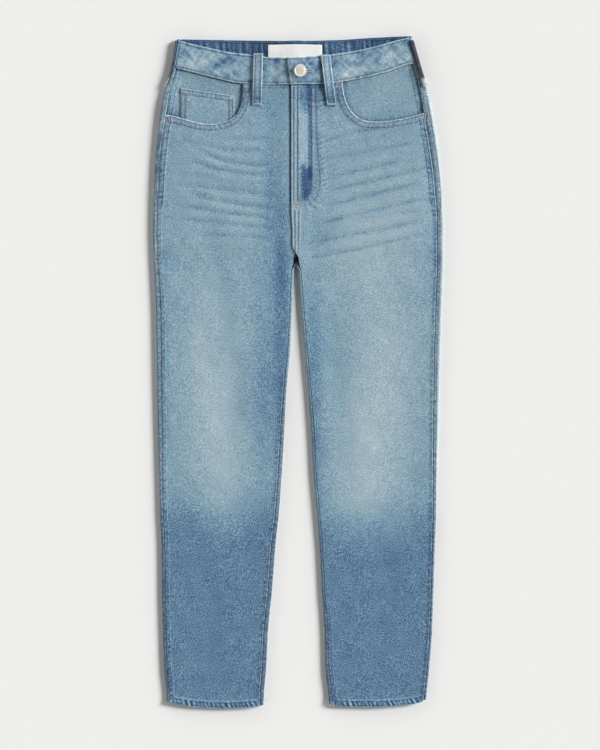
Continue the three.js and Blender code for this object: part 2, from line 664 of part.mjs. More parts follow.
// Patch pocket on the back, between the cloth and the surface
function backPocket(side) {
  const p = BACK_POCKET;
  const at = (away, below) => {
    const x = CENTRE_X + side.sign * away;
    return new THREE.Vector2(x, yokeSeamY(x) - p.drop - below);
  };
  const middle = (p.inner + p.outer) / 2;
  const outline = [
    at(p.inner, 0), at(p.outer, 0), at(p.outer - p.taper, p.side), at(middle, p.point),
    at(p.inner + p.taper, p.side),
  ];
  return prism(new THREE.Shape(outline), 0, p.wall);
}

// Top of whatever lies under a front belt loop
function underLoop(side, x, y) {
  const bandTop = bandUnder(side, x) + BAND;
  const seamY = along(FRONT_SEAM, 'x', x, 'y');
  const panelTop = frontUnder(side, x, Math.min(y, seamY)) + DENIM;
  return mix(panelTop, Math.max(bandTop, panelTop), smooth((y - seamY + LOOP_STEP.before) / LOOP_STEP.ramp));
}

function frontLoop(side) {
  const loop = FRONT_LOOPS[side.name];
  const rows = 14;
  const columns = 3;
  const face = (raise) => (i, j) => {
    const t = i / (rows - 1);
    const y = mix(loop.topY, loop.bottomY, t);
    const x = mix(loop.topX, loop.bottomX, t) + LOOP_WIDTH * (j / (columns - 1) - 0.5);
    const rest = Math.max(...[-1, 0, 1].map((n) => underLoop(side, x + n * LOOP_STEP.probe, y)));
    return [x, y, rest + SEAM_GAP + LOOP_ARCH * Math.sin(Math.PI * t) + raise];
  };
  return shell(rows, columns, face(LOOP), face(0));
}

// Belt loop that lies round the side fold of the waistband
function sideLoop(side) {
  const rows = 8;
  const arc = Math.PI * BAND_FOLD_RADIUS;
  const lengths = [...steps(SIDE_LOOP.start * arc, arc, 5), arc + SIDE_LOOP.over];
  const face = (offset) => (i, j) => {
    const y = mix(SIDE_LOOP.top, SIDE_LOOP.bottom, i / (rows - 1));
    const base = outlineOf(side, 'Outer', y) - side.sign * (BAND_FOLD_RADIUS + BAND / 2);
    const p = curlPoint(0, lengths[j], 1, BAND_FOLD_RADIUS, BAND_UNDER, BAND, 0, true);
    const angle = Math.min(Math.PI, lengths[j] / BAND_FOLD_RADIUS);
    return [base + side.sign * (p.out + offset * Math.sin(angle)), y, p.z - offset * Math.cos(angle)];
  };
  return shell(rows, lengths.length, face(SIDE_LOOP.clearance + LOOP), face(SIDE_LOOP.clearance));
}

// Belt loop at the centre of the back, between the waistband and the surface
function backLoop() {
  const height = BACK_LOOP.top - BACK_LOOP.bottom;
  const strap = new THREE.BoxGeometry(BACK_LOOP.width, height, BACK_LOOP.wall, 1, 3, 1);
  strap.translate(CENTRE_X, BACK_LOOP.bottom + height / 2, BACK_LOOP.wall / 2);
  return strap;
}

// A flat strip inside the fly
function flyStrip(piece) {
  const { left, right, top, bottom, wall, under } = piece;
  const strip = new THREE.BoxGeometry(right - left, top - bottom, wall);
  strip.translate((left + right) / 2, (top + bottom) / 2, under + wall / 2);
  return strip;
}

// Blank woven label on the inside of the back waistband
function label() {
  const columns = 22;
  const face = (raise) => (i, j) => {
    const x = mix(LABEL_PLACE.left, LABEL_PLACE.right, j / (columns - 1));
    const y = mix(LABEL_PLACE.top, LABEL_PLACE.bottom, i);
    return [x, y, lift(x, y) + BAND + LABEL_PLACE.clearance + raise];
  };
  return shell(2, columns, face(LABEL), face(0));
}

// Turned metal button with a raised rim and a shank through the buttonhole
function button() {
  const seat = bandUnder(SIDES.left, BUTTON.x) + BAND + SEAM_GAP;
  const shankEnd = bandUnder(SIDES.right, BUTTON.x) + BAND + SEAM_GAP;
  const r = BUTTON.radius;
  const h = BUTTON.height;
  const profile = [
    [0, shankEnd - seat], [BUTTON.shank, shankEnd - seat], [BUTTON.shank, 0], [r - 0.8, 0],
    [r, 0.7], [r, h - 1.1], [r - 0.8, h - 0.2], [r - 1.8, h], [r - 2.8, h - 0.6], [0, h - 0.3],
  ];
  const disc = new THREE.LatheGeometry(profile.map(([x, y]) => new THREE.Vector2(x, y)), 24);
  disc.rotateX(Math.PI / 2);
  disc.translate(BUTTON.x, BUTTON.y, seat);
  return disc;
}

function piece(name, geometry, colour, roughness, metalness = 0) {
  const material = new THREE.MeshStandardMaterial({ color: colour, roughness, metalness });
  const mesh = new THREE.Mesh(geometry, material);
  mesh.name = name;
  return mesh;
}

const group = new THREE.Group();
for (const side of Object.values(SIDES)) {
  group.add(piece(`front_${side.name}`, frontPanel(side), INK.front, 0.9));
  group.add(piece(`back_${side.name}`, backPanel(side), INK.back, 0.9));
  group.add(piece(`yoke_${side.name}`, yoke(side), INK.back, 0.9));
  group.add(piece(`waistband_${side.name}`, frontBand(side), INK.band, 0.9));
  group.add(piece(`pocket_facing_${side.name}`, pocketFacing(side), INK.front, 0.9));
  group.add(piece(`back_pocket_${side.name}`, backPocket(side), INK.back, 0.9));
  group.add(piece(`belt_loop_front_${side.name}`, frontLoop(side), INK.loop, 0.9));
  group.add(piece(`belt_loop_side_${side.name}`, sideLoop(side), INK.loop, 0.9));
}
group.add(piece('waistband_back', backBand(), INK.inside, 0.9));
group.add(piece('coin_pocket', coinPocket(), INK.front, 0.9));
group.add(piece('belt_loop_back', backLoop(), INK.loop, 0.9));
group.add(piece('fly_shield', flyStrip(SHIELD), INK.inside, 0.9));
group.add(piece('zip', flyStrip(ZIP), INK.zip, 0.5, 0.6));
group.add(piece('label', label(), INK.label, 0.7));
group.add(piece('button', button(), INK.button, 0.35, 0.9));

export default group;
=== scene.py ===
import math
import bpy
import numpy as np
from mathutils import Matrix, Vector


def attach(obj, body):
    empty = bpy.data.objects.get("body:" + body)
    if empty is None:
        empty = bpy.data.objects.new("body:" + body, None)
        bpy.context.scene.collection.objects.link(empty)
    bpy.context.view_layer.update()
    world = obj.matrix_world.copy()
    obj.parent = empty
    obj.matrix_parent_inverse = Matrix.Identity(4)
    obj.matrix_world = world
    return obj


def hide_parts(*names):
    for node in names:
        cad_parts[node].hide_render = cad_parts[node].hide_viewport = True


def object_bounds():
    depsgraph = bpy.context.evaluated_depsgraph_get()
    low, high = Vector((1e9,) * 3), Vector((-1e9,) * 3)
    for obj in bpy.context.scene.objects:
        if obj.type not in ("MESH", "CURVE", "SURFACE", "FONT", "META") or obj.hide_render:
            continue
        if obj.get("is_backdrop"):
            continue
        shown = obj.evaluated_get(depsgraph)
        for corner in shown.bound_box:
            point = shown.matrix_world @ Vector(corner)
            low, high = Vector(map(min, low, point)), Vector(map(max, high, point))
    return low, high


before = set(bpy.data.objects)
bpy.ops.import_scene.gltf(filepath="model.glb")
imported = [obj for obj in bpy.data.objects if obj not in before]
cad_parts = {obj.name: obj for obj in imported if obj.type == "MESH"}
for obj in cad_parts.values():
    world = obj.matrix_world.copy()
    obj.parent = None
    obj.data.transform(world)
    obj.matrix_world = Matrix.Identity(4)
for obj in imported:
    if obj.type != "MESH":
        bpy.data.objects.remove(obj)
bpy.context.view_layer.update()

# Front legs: two panels of cotton twill denim, stonewashed and worn pale along the thighs. Each is
# cut in one piece from the waist seam to the hem, with the pocket mouth scooped out of its upper
# outer corner, turned in and sewn with two rows. They lie on the back legs. Sizes are millimetres.
MM = 0.001
DENIM = 1.5
SEAM_GAP = 0.3
SIDE_GAP = 0.55
CENTRE_X = -3
CROTCH_Y = 165
FRONT_SEAM_LEVEL = 430.5
HEM_LEVEL = -504
HEM_HEIGHT = 10.5
HEM_EXTRA = 0.8
FRONT_LENGTH = FRONT_SEAM_LEVEL - HEM_LEVEL
OUTER_REFERENCE = 190
YOKE_CENTRE_Y = 380
YOKE_RISE = 37
HALF_HIP = 207
FLY_EDGE_X = -10.2
FLY_BOTTOM_Y = 247
SIGN = {"right": -1, "left": 1}


def table(columns, *rows):
    """Rows of values under named columns, kept as one array for each column."""
    return {name: np.array(values) for name, values in zip(columns.split(), zip(*rows))}


OUTLINE = table(
    "y right_outer right_seam right_inner right_inseam left_inner left_inseam left_outer left_seam",
    (-504, -196, 4.2, -52.5, 5, 47, 5, 190, 3.9),
    (-477, -197, 4.2, -51, 6, 45, 5, 193.5, 3.9),
    (-447, -200.5, 4.2, -48, 6.5, 41.5, 4.5, 196.5, 3.9),
    (-387, -202.5, 4.5, -45, 6.5, 40, 3.9, 201, 3.9),
    (-327, -204, 4.5, -39, 6.5, 36, 3.9, 203, 3.9),
    (-267, -204.5, 4.5, -34.5, 6.5, 33, 3.9, 205, 4.2),
    (-207, -207, 4.5, -28.5, 6, 28, 3.9, 207, 5),
    (-147, -208.5, 5, -24, 6, 23, 3.9, 208.5, 6.5),
    (-87, -210, 6, -21, 5.5, 20, 3.9, 210, 7.5),
    (-27, -211.5, 7, -17.5, 4.5, 15.5, 3.9, 211.5, 8.5),
    (33, -212.5, 7.5, -12, 3.9, 10, 3.9, 213, 9),
    (93, -213.5, 7.5, -9, 3.9, 5, 3.9, 215, 9),
    (153, -216, 7, -6, 3.9, 0, 3.9, 217.2, 9),
    (165, -216.5, 6.5, -3.2, 3.9, -2.8, 3.9, 217.5, 9),
    (213, -217.5, 6, -3.2, 3.9, -2.8, 3.9, 217.5, 9),
    (288, -215.5, 6.4, -3.2, 3.9, -2.8, 3.9, 213.5, 9.5),
    (333, -212.5, 7, -3.2, 3.9, -2.8, 3.9, 209, 11),
    (393, -205.5, 9, -3.2, 3.9, -2.8, 3.9, 199.5, 12),
    (423, -199.5, 8, -3.2, 3.9, -2.8, 3.9, 193, 11),
    (453, -189, 6, -3.2, 3.9, -2.8, 3.9, 184, 9),
    (498, -181, 6, -3.2, 3.9, -2.8, 3.9, 171, 8),
)
FRONT_SEAM = table(
    "x y",
    (-190, 456), (-157, 448.5), (-121, 439.5), (-93, 433), (-69, 431), (-15, 430.5), (35, 431),
    (57, 433.5), (88, 438.5), (132, 449), (172, 461), (190, 461),
)
HEM_RISE = table(
    "x rise",
    (-196, 9), (-160, 3), (-112, 0), (-67, 2.2), (-52, 4.8), (46, 7.5), (58, 3), (108, 2),
    (159, 4.8), (184, 9), (192, 14),
)
GAPS = table(
    "y gap",
    (-504, 3.4), (-495, 3.4), (-485, 2.3), (-200, 2.4), (0, 2.5), (165, 2.7), (250, 3.0),
    (357, 3.2), (430, 3.6),
)


def smooth(t):
    c = np.clip(t, 0, 1)
    return c * c * (3 - 2 * c)


def mix(a, b, t):
    return a + (b - a) * t


def bell(value, middle, width):
    return np.exp(-(((value - middle) / width) ** 2))


def grid(x, y, z):
    """Points on a grid, from arrays that spread over it."""
    return np.stack(np.broadcast_arrays(x, y, z), -1)


def along(columns, key, at, column):
    """Smooth curve, with no overshoot, through one column of a table."""
    xs, ys = columns[key].astype(float), columns[column].astype(float)
    secant = np.diff(ys) / np.diff(xs)
    before = np.concatenate([secant[:1], secant])
    after = np.concatenate([secant, secant[-1:]])
    agree = before * after > 0
    slope = np.where(agree, 2 * before * after / np.where(agree, before + after, 1), 0)
    at = np.clip(np.asarray(at, float), xs[0], xs[-1])
    i = np.clip(np.searchsorted(xs, at, side="right") - 1, 0, len(xs) - 2)
    span = xs[i + 1] - xs[i]
    t = (at - xs[i]) / span
    start = (1 + 2 * t) * (1 - t) ** 2 * ys[i] + t * (1 - t) ** 2 * span * slope[i]
    return start + t * t * (3 - 2 * t) * ys[i + 1] + t * t * (t - 1) * span * slope[i + 1]


def outline(side, part, y):
    return along(OUTLINE, "y", y, side + "_" + part)


def yoke_seam_y(x):
    return YOKE_CENTRE_Y + YOKE_RISE * np.abs(x - CENTRE_X) / HALF_HIP


# The back pockets and the belt loop at the centre of the back lie under the cloth and lift it.
POCKET_WALL = 1.2
POCKET_LIFT = dict(inner=34, outer=176, drop=17, low=205, ramp=14, front_ramp=40)
BACK_LOOP = dict(width=14, top=497.5, bottom=441, wall=1.5, ramp=10)


def lift(x, y, ramp=POCKET_LIFT["ramp"]):
    away = np.abs(x - CENTRE_X)
    across = smooth(1 + (away - POCKET_LIFT["inner"]) / ramp)
    across = across * smooth(1 + (POCKET_LIFT["outer"] - away) / ramp)
    down = smooth(1 + (yoke_seam_y(x) - y - POCKET_LIFT["drop"]) / ramp)
    down = down * smooth(1 + (y - POCKET_LIFT["low"]) / ramp)
    half = BACK_LOOP["width"] / 2 + 1
    loop = smooth(1 + (half - away) / BACK_LOOP["ramp"])
    loop = loop * smooth(1 + (y - BACK_LOOP["bottom"] + 1) / BACK_LOOP["ramp"])
    pocket = (POCKET_WALL + SEAM_GAP) * across * down
    return np.maximum(pocket, (BACK_LOOP["wall"] + SEAM_GAP) * loop)


# Creases set across the lap, each from its outer or left end to the other end.
WHISKERS = table(
    "side x0 y0 x1 y1 sag depth",
    ("right", -110, 349, -40, 353, -2, 0.5), ("right", -178, 353, -46, 334, -10, 0.6),
    ("right", -166, 344, -36, 313, -15, 0.8), ("right", -172, 320, -36, 297, -8, 0.8),
    ("right", -192, 283, -30, 264, 0, 0.5), ("right", -170, 271, -24, 246, -6, 0.7),
    ("right", -190, 253, -36, 231, -3, 0.7), ("right", -186, 231, -30, 216, -1, 0.5),
    ("right", -156, 207, -34, 200, 0, 0.4),
    ("left", 30, 342, 132, 366, 4, 0.8), ("left", 30, 318, 184, 345, -1, 0.5),
    ("left", 36, 287, 154, 315, 2, 0.7), ("left", 40, 270, 194, 306, 0, 0.8),
    ("left", 38, 248, 190, 285, 0, 0.8), ("left", 12, 218, 194, 261, 0, 0.9),
    ("left", 56, 222, 192, 243, 2, 0.4), ("left", 10, 192, 200, 228, 0, 0.7),
    ("left", 10, 170, 194, 210, -3, 0.8),
)
WHISKER_WIDTH = 4.5
WHISKER_RIDGE = dict(away=9, width=5, share=0.3)
WHISKER_LINE = 2.2
CREASE_TOP = 372
CREASE_FADE = 30
# Long soft troughs that run down the legs, from the upper end to the lower one.
LONG_FOLDS = table(
    "side x0 y0 x1 y1 bow width depth",
    ("right", -43, 400, -22, 100, -4, 10, 0.7), ("right", -177, 350, -88, -150, 24, 15, 0.7),
    ("right", -150, -220, -120, -470, 6, 16, 0.4), ("left", 34, 140, 80, -200, 5, 16, 0.6),
    ("left", 150, -180, 118, -470, 0, 18, 0.4),
)


def creased(y):
    return 1 - smooth((y - CREASE_TOP) / CREASE_FADE)


def whiskers(side, x, y):
    """Depth of the lap creases, height of the soft ridges between them, and their dark lines."""
    trough, ridge, dark = np.zeros_like(x), np.zeros_like(x), np.zeros_like(x)
    rise = WHISKER_RIDGE
    for i in np.flatnonzero(WHISKERS["side"] == side):
        w = {name: column[i] for name, column in WHISKERS.items()}
        t = np.clip((x - w["x0"]) / (w["x1"] - w["x0"]), 0, 1)
        away = y - mix(w["y0"], w["y1"], t) - w["sag"] * 4 * t * (1 - t)
        ends = smooth(4 * t) * smooth(4 * (1 - t)) * w["depth"]
        trough += ends * bell(away, 0, WHISKER_WIDTH)
        ridge += ends * rise["share"] * bell(np.abs(away), rise["away"], rise["width"])
        worn = smooth(12 * t) * smooth(8 * (1 - t)) * (0.65 + 0.35 * np.sin(x / 9 + i))
        dark += worn * w["depth"] * bell(away, 0, WHISKER_LINE)
    return trough, ridge, dark


def long_folds(side, x, y):
    depth = np.zeros_like(x)
    for i in np.flatnonzero(LONG_FOLDS["side"] == side):
        f = {name: column[i] for name, column in LONG_FOLDS.items()}
        t = np.clip((f["y0"] - y) / (f["y0"] - f["y1"]), 0, 1)
        away = x - mix(f["x0"], f["x1"], t) - f["bow"] * 4 * t * (1 - t)
        ends = smooth(4 * t) * smooth(4 * (1 - t))
        depth += f["depth"] * ends * bell(away, 0, f["width"])
    return depth


def front_rest(side, x, y):
    """Underside of the front cloth before it is creased."""
    fly = smooth((x + 34) / 18) * smooth((46 - x) / 18) * smooth((y - FLY_BOTTOM_Y + 20) / 18)
    rise = DENIM + along(GAPS, "y", y, "gap") + lift(x, y, POCKET_LIFT["front_ramp"]) + fly
    if side == "left":
        rise = rise + (DENIM + SEAM_GAP) * smooth((26 - x) / 22) * smooth((y - 138) / 34)
    return rise


def front_under(side, x, y):
    depth = whiskers(side, x, y)[0] + long_folds(side, x, y)
    return front_rest(side, x, y) - depth * creased(y)


def front_row_y(x, depth):
    """Height on the garment of a front row that starts a depth below the waist seam."""
    top = (along(FRONT_SEAM, "x", x, "y") - FRONT_SEAM_LEVEL) * (1 - smooth(depth / 80))
    hem = along(HEM_RISE, "x", x, "rise") * smooth((depth - FRONT_LENGTH + 60) / 50)
    slack = SEAM_GAP / 2 * (1 - smooth(depth / 80))
    return FRONT_SEAM_LEVEL - depth - slack + top + hem


def front_inner_x(side, y):
    inseam = outline(side, "inner", y) + SIGN[side] * (outline(side, "inseam", y) + SEAM_GAP / 2)
    fly = 0.0 if side == "right" else FLY_EDGE_X + 2 * smooth((FLY_BOTTOM_Y - y) / 40)
    return mix(fly, inseam, smooth((190 - y) / 22))


def front_spot(side, depth, across):
    """Plan place of a point of the front leg."""
    outer_y = front_row_y(SIGN[side] * OUTER_REFERENCE, depth)
    inset = outline(side, "seam", outer_y) + SIDE_GAP / 2
    outer_x = outline(side, "outer", outer_y) - SIGN[side] * inset
    x = mix(front_inner_x(side, front_row_y(0.0, depth)), outer_x, across)
    return x, front_row_y(x, depth)


ROLL = np.array([0, 0.25, 0.7, 1.3, 2.2])


def stations(length, pitch, zones=()):
    """Shares of a length, closer at both ends, where the edge is rolled, and in some zones."""
    at, last = [ROLL[-1]], length - ROLL[-1]
    while at[-1] < last:
        at.append(at[-1] + min([p for a, b, p in zones if a <= at[-1] < b], default=pitch))
    middle = ROLL[-1] + (np.array(at) - ROLL[-1]) * (last - ROLL[-1]) / (at[-1] - ROLL[-1])
    return np.concatenate([ROLL[:-1], middle, length - ROLL[-2::-1]]) / length


def catmull(points, steps):
    """Smooth curve through points in the plan."""
    p = np.array([points[0], *points, points[-1]], float)
    t = np.linspace(0, 1, steps, endpoint=False)[:, None]
    made = []
    for a, b, c, d in zip(p, p[1:], p[2:], p[3:]):
        curve = 2 * b + (c - a) * t + (2 * a - 5 * b + 4 * c - d) * t**2
        made.append(0.5 * (curve + (3 * b - a - 3 * c + d) * t**3))
    return np.concatenate([*made, p[-1:]])


def near(line, x, y):
    """Distance from a line in the plan, and how far along the line the nearest point is."""
    start, step = line[:-1], np.diff(line, axis=0)
    length = np.hypot(*step.T)
    run = np.concatenate([[0], np.cumsum(length)[:-1]])
    flat = np.stack([np.ravel(x), np.ravel(y)], 1)
    best = np.full(len(flat), 1e9)
    place = np.zeros(len(flat))
    for a, s, n, r in zip(start, step, length, run):
        t = np.clip(((flat - a) @ s) / n**2, 0, 1)
        away = np.hypot(*(flat - a - t[:, None] * s).T)
        closer = away < best
        best = np.where(closer, away, best)
        place = np.where(closer, r + t * n, place)
    return best.reshape(np.shape(x)), place.reshape(np.shape(x))


def beside(line, offset):
    """The same line moved sideways, to its left where the offset is positive."""
    step = np.gradient(line, axis=0)
    normal = np.stack([-step[:, 1], step[:, 0]], 1) / np.hypot(*step.T)[:, None]
    return line + offset * normal


MOUTH = {
    "right": catmull([(-81, 440), (-82, 431), (-83, 412), (-87, 395), (-97, 381), (-113, 374),
        (-131, 371.5), (-150, 373.5), (-172, 379.5), (-189, 384), (-204, 386)], 5),
    "left": catmull([(66, 443), (67, 431), (70, 412), (77, 395), (89, 382), (103, 376),
        (125, 375), (146, 377.5), (168, 382), (191, 389), (204, 393)], 5),
}
MOUTH_CORNER = {"right": (-230, 480), "left": (230, 480)}
MOUTH_END_Y = {"right": 384, "left": 388}
# Where the seams end at the hem, and their rows of sewing; the top of the back's seams; the hip.
SEAM_END_Y, ROWS_END_Y, BACK_TOP_Y = -500, -488, 455
HIP = dict(y=225, reach=45)


def seam_line(side, top, bottom, inset=0.0, low=None):
    """Line of the side seam, or one that lies inside it by an inset, which may differ lower down."""
    y = np.linspace(top, bottom, 40)
    inset = mix(inset if low is None else low, inset, smooth((y - HIP["y"]) / HIP["reach"]))
    x = outline(side, "outer", y) - SIGN[side] * (outline(side, "seam", y) + inset)
    return np.stack([x, y], 1)


def inseam_line(side, top, bottom, inset=0.0):
    y = np.linspace(top, bottom, 40)
    x = outline(side, "inner", y) + SIGN[side] * (outline(side, "inseam", y) + inset)
    return np.stack([x, y], 1)


def hem_line(side, up):
    ends = {"right": (-190, -48), "left": (52, 186)}[side]
    x = np.linspace(*ends, 40)
    return np.stack([x, HEM_LEVEL + along(HEM_RISE, "x", x, "rise") + up], 1)


# Rows of sewing on the fly: the two at its edge, the two of its curve, and the rise below it.
FLY_CURVE = {
    "outer": catmull([(27, 430), (27.5, 380), (30, 330), (33, 295), (32.5, 276), (27, 261),
        (17, 251.5), (6, 248.5)], 5),
    "inner": catmull([(21, 430), (21.3, 380), (21.5, 300), (20.5, 280), (16, 265), (9, 258),
        (3, 255.5)], 5),
}
# Lines of cloth that stand up and are rubbed pale, and cloth that is sewn down beside them.
FLY_RIDGES = [np.array(line, float) for line in (
    [(-9.4, 430), (-9.4, 247), (-7.6, 165)], [(1.6, 428), (1.6, 262)], [(13.0, 400), (13.0, 306)],
    [(21.5, 424), (21.5, 312), (20.5, 280)], [(-2.2, 243), (-2, 172)], [(3.4, 243), (2.4, 190)],
)]
ALLOWANCE = table(
    "name width raised pucker period",
    ("mouth", 10.5, 0.45, 0.22, 6.3), ("side", 9.5, 0.25, 0.24, 7.1), ("inseam", 6.0, 0.25, 0.18, 7.7),
    ("hem", 9.5, 0.45, 0.30, 6.6), ("waist", 6.0, 0.0, 0.20, 8.6), ("fly", 12.0, 0.0, 0.20, 6.9),
)
# Below the hip the side seam's allowance is narrower.
LOW_ALLOWANCE = {"right": 6.2, "left": 5.0}


def wobble(run, period):
    """Uneven ripple along a seam, from -1 to 1."""
    wave = np.sin(2 * np.pi * run / period + 1.9 * np.sin(2 * np.pi * run / 53))
    return wave * (0.62 + 0.38 * np.sin(2 * np.pi * run / 31 + 2))


# The rows along the inseam come to the top of the leg only some way down.
INSEAM_ROWS_Y = {"right": -10, "left": -350}


def front_edges(side):
    """The sewn edges of a front leg, by the name of the allowance that each has."""
    waist_x = np.linspace(-75, 0, 12) if side == "right" else np.linspace(-10, 66, 12)
    edges = [
        ("mouth", MOUTH[side]), ("side", seam_line(side, MOUTH_END_Y[side], SEAM_END_Y)),
        ("inseam", inseam_line(side, INSEAM_ROWS_Y[side], SEAM_END_Y)), ("hem", hem_line(side, 0)),
        ("waist", np.stack([waist_x, along(FRONT_SEAM, "x", waist_x, "y")], 1)),
    ]
    if side == "left":
        edges.append(("fly", FLY_CURVE["outer"]))
    return edges


# Gentle unevenness of washed cloth that lies flat: waves by length, heading and height.
WAVES = table(
    "length heading height phase",
    (97, 12, 0.16, 0.4), (61, 71, 0.13, 2.1), (43, 118, 0.10, 4.4), (31, 33, 0.08, 1.2),
    (24, 152, 0.06, 3.3), (17, 84, 0.05, 5.0), (13, 47, 0.03, 0.9),
)


def unevenness(x, y):
    height = np.zeros_like(x)
    for length, heading, tall, phase in zip(*WAVES.values()):
        a = math.radians(heading)
        run = x * math.cos(a) + y * math.sin(a)
        height += tall * np.sin(2 * np.pi * run / length + phase + np.sin((x - y) / 37 + phase))
    return height


def sewn_relief(edges, x, y):
    """Height that seam allowances and their puckers add, the puckers, and the nearest edge.

    The distance from an edge is scaled, so that every allowance ends at 10.5.
    """
    raised, ripple, closest = np.zeros_like(x), np.zeros_like(x), np.full_like(x, 60.0)
    for name, line in edges:
        row = {key: column[list(ALLOWANCE["name"]).index(name)] for key, column in ALLOWANCE.items()}
        away, run = near(line, x, y)
        width = row["width"]
        if name == "side":
            low = np.where(x < 0, LOW_ALLOWANCE["right"], LOW_ALLOWANCE["left"])
            width = mix(low, width, smooth((y - HIP["y"]) / HIP["reach"]))
        inside = 1 - smooth((away - width + 1) / 3)
        raised = np.maximum(raised, row["raised"] * inside)
        zone = np.exp(-(((away - width / 2) / width) ** 2) * 2.5)
        ripple = ripple + zone * wobble(run + 0.35 * away, row["period"]) * row["pucker"]
        if name != "fly":
            closest = np.minimum(closest, away * 10.5 / width)
    return raised, ripple, closest


def front_relief(side, x, y):
    """Low relief of the outer face: ridges beside the creases, allowances, puckers, the fly."""
    raised, ripple, _ = sewn_relief(front_edges(side), x, y)
    ridge = whiskers(side, x, y)[1] * creased(y)
    relief = ridge + raised + ripple + unevenness(x, y)
    if side == "left":
        for line in FLY_RIDGES:
            relief += 0.35 * bell(near(line, x, y)[0], 0, 1.6)
        strip = smooth((y - 262) / 30) * smooth((430 - y) / 20)
        relief -= 0.35 * strip * bell(x, 17.2, 3.2)
    return relief


# How pale the wash is, from 0, deep indigo, to 1, bare cotton. Places rubbed paler or left darker,
# and painted shade beside the left leg's inner edge and in a soft upright band on the right front
# beside the fly: centre, half width and half height of each, and the change.
FADES_AND_SHADE = table(
    "side x y wide tall change",
    ("right", -135, 85, 36, 100, 0.08), ("right", -130, -45, 38, 85, 0.16),
    ("right", -108, -140, 42, 62, 0.13), ("right", -80, 40, 24, 70, 0.06),
    ("right", -152, 45, 16, 40, 0.06), ("right", -52, -20, 22, 130, -0.15),
    ("right", -24, 40, 13, 220, -0.24), ("right", -206, -60, 12, 190, -0.05),
    ("right", -43, 265, 9, 85, -0.13), ("right", -42, 400, 20, 24, -0.12),
    ("right", -26, 160, 12, 70, -0.10), ("left", 110, 170, 66, 75, 0.12),
    ("left", 132, 40, 48, 80, 0.15), ("left", 115, -75, 46, 72, 0.19),
    ("left", 104, -165, 46, 60, 0.15), ("left", 24, 0, 13, 120, -0.18),
    ("left", 24, -140, 15, 70, -0.13), ("left", 180, -190, 18, 60, -0.06),
    ("left", 165, 250, 40, 55, 0.05), ("left", 30, 412, 24, 17, -0.24),
    ("left", 12, 282, 8, 20, -0.12), ("left", 40, 205, 26, 14, -0.10),
    ("left", 205, 190, 9, 90, -0.10),
)
# Strokes of tone, from end to end, with the half width and the change. Among them is painted shade:
# the shadow line on the right front beside the fly's edge, and dark lines under the rows of sewing
# on the fly and the rise.
STROKES = table(
    "side x0 y0 x1 y1 wide change",
    ("left", -6.2, 426, -6.2, 256, 1.0, -0.30), ("left", -0.2, 426, -0.2, 256, 1.0, -0.30),
    ("left", -3.2, 426, -3.2, 256, 1.8, 0.16), ("left", 7.4, 392, 7.4, 318, 4.8, 0.15),
    ("left", 17.4, 428, 17.6, 290, 3.4, -0.30), ("left", 7.5, 306, 8.5, 262, 4.2, -0.30),
    ("left", 12.5, 302, 12.5, 258, 4.0, -0.26), ("left", 18.5, 306, 17, 268, 4.0, -0.26),
    ("left", 15, 428, 11, 392, 6.0, -0.22), ("left", 5.5, 424, 4, 404, 2.5, -0.18),
    ("left", 31, 352, 33, 300, 5.5, -0.10),
    ("left", 30, 300, 18, 256, 5.0, -0.05), ("left", -3, 245, -3, 175, 7.0, 0.16),
    ("left", -4.5, 240, -4, 175, 1.2, -0.38), ("left", 1, 240, 0.4, 175, 1.1, -0.30),
    ("right", -11.6, 428, -11.2, 252, 1.3, -0.40), ("right", -206, 352, -209, 300, 5.5, -0.18),
    ("right", -209, 300, -208, 250, 6.0, -0.14),
    ("left", 192, 372, 199, 300, 6.0, -0.16), ("left", 200, 300, 203, 240, 5.5, -0.08),
    ("right", -203, 180, -200, -100, 7.0, -0.08), ("right", -78, 428, -80, 398, 4.0, -0.14),
    ("left", 63, 428, 67, 400, 4.0, -0.14),
)
# A hem that is sewn a little askew ropes: dark and pale slanting stripes.
ROPE_PERIOD = 6.6
ROPE_TONE = 0.38
DARK_BELOW_KNEE = dict(level={"right": -272, "left": -290}, reach=100, low=0.335, high=0.58)
LEG_MIDDLE = {"right": -112, "left": 112}
FLY_REACH = dict(x=100, y=150)


def marks(rows, side, front=True):
    """Rows of a table of tones that are on one side. Those round the fly are on the front only."""
    for name, x, y, *rest in zip(*rows.values()):
        if name == side and (front or abs(x) > FLY_REACH["x"] or y < FLY_REACH["y"]):
            yield x, y, *rest


def patches(rows, x, y):
    return sum(change * bell(x, cx, wide) * bell(y, cy, tall) for cx, cy, wide, tall, change in rows)


def strokes(rows, x, y, power):
    return sum(
        change * np.exp(-((near(np.array([(x0, y0), (x1, y1)], float), x, y)[0] / wide) ** power))
        for x0, y0, x1, y1, wide, change in rows
    )


def wash(side, x, y, front=True):
    level = DARK_BELOW_KNEE["level"][side] + 0.25 * np.abs(x - LEG_MIDDLE[side]) + 7 * np.sin(x / 15)
    pale = smooth((y - level) / DARK_BELOW_KNEE["reach"])
    tone = mix(DARK_BELOW_KNEE["low"], DARK_BELOW_KNEE["high"], pale)
    tone += patches(marks(FADES_AND_SHADE, side, front), x, y)
    return tone + strokes(marks(STROKES, side, front), x, y, 3)


def front_wash(side, x, y):
    trough, ridge, dark = whiskers(side, x, y)
    crease = 0.05 * ridge / WHISKER_RIDGE["share"] - 0.03 * trough - 0.15 * dark
    _, ripple, _ = sewn_relief(front_edges(side), x, y)
    away, run = near(hem_line(side, 0), x, y)
    rope = wobble(run + 0.5 * away, ROPE_PERIOD) * smooth(away / 2) * smooth((9.5 - away) / 2)
    # The long folds are painted darker in their troughs: painted shade.
    tone = wash(side, x, y) + 0.65 * ripple + ROPE_TONE * rope - 0.05 * long_folds(side, x, y)
    tone += crease * creased(y)
    if side == "left":
        # Painted shade of the stitch holes: dark lines along the curved rows of the fly.
        tone -= 0.18 * bell(closest(FLY_CURVE.values(), x, y), 0, 1.1)
    return tone


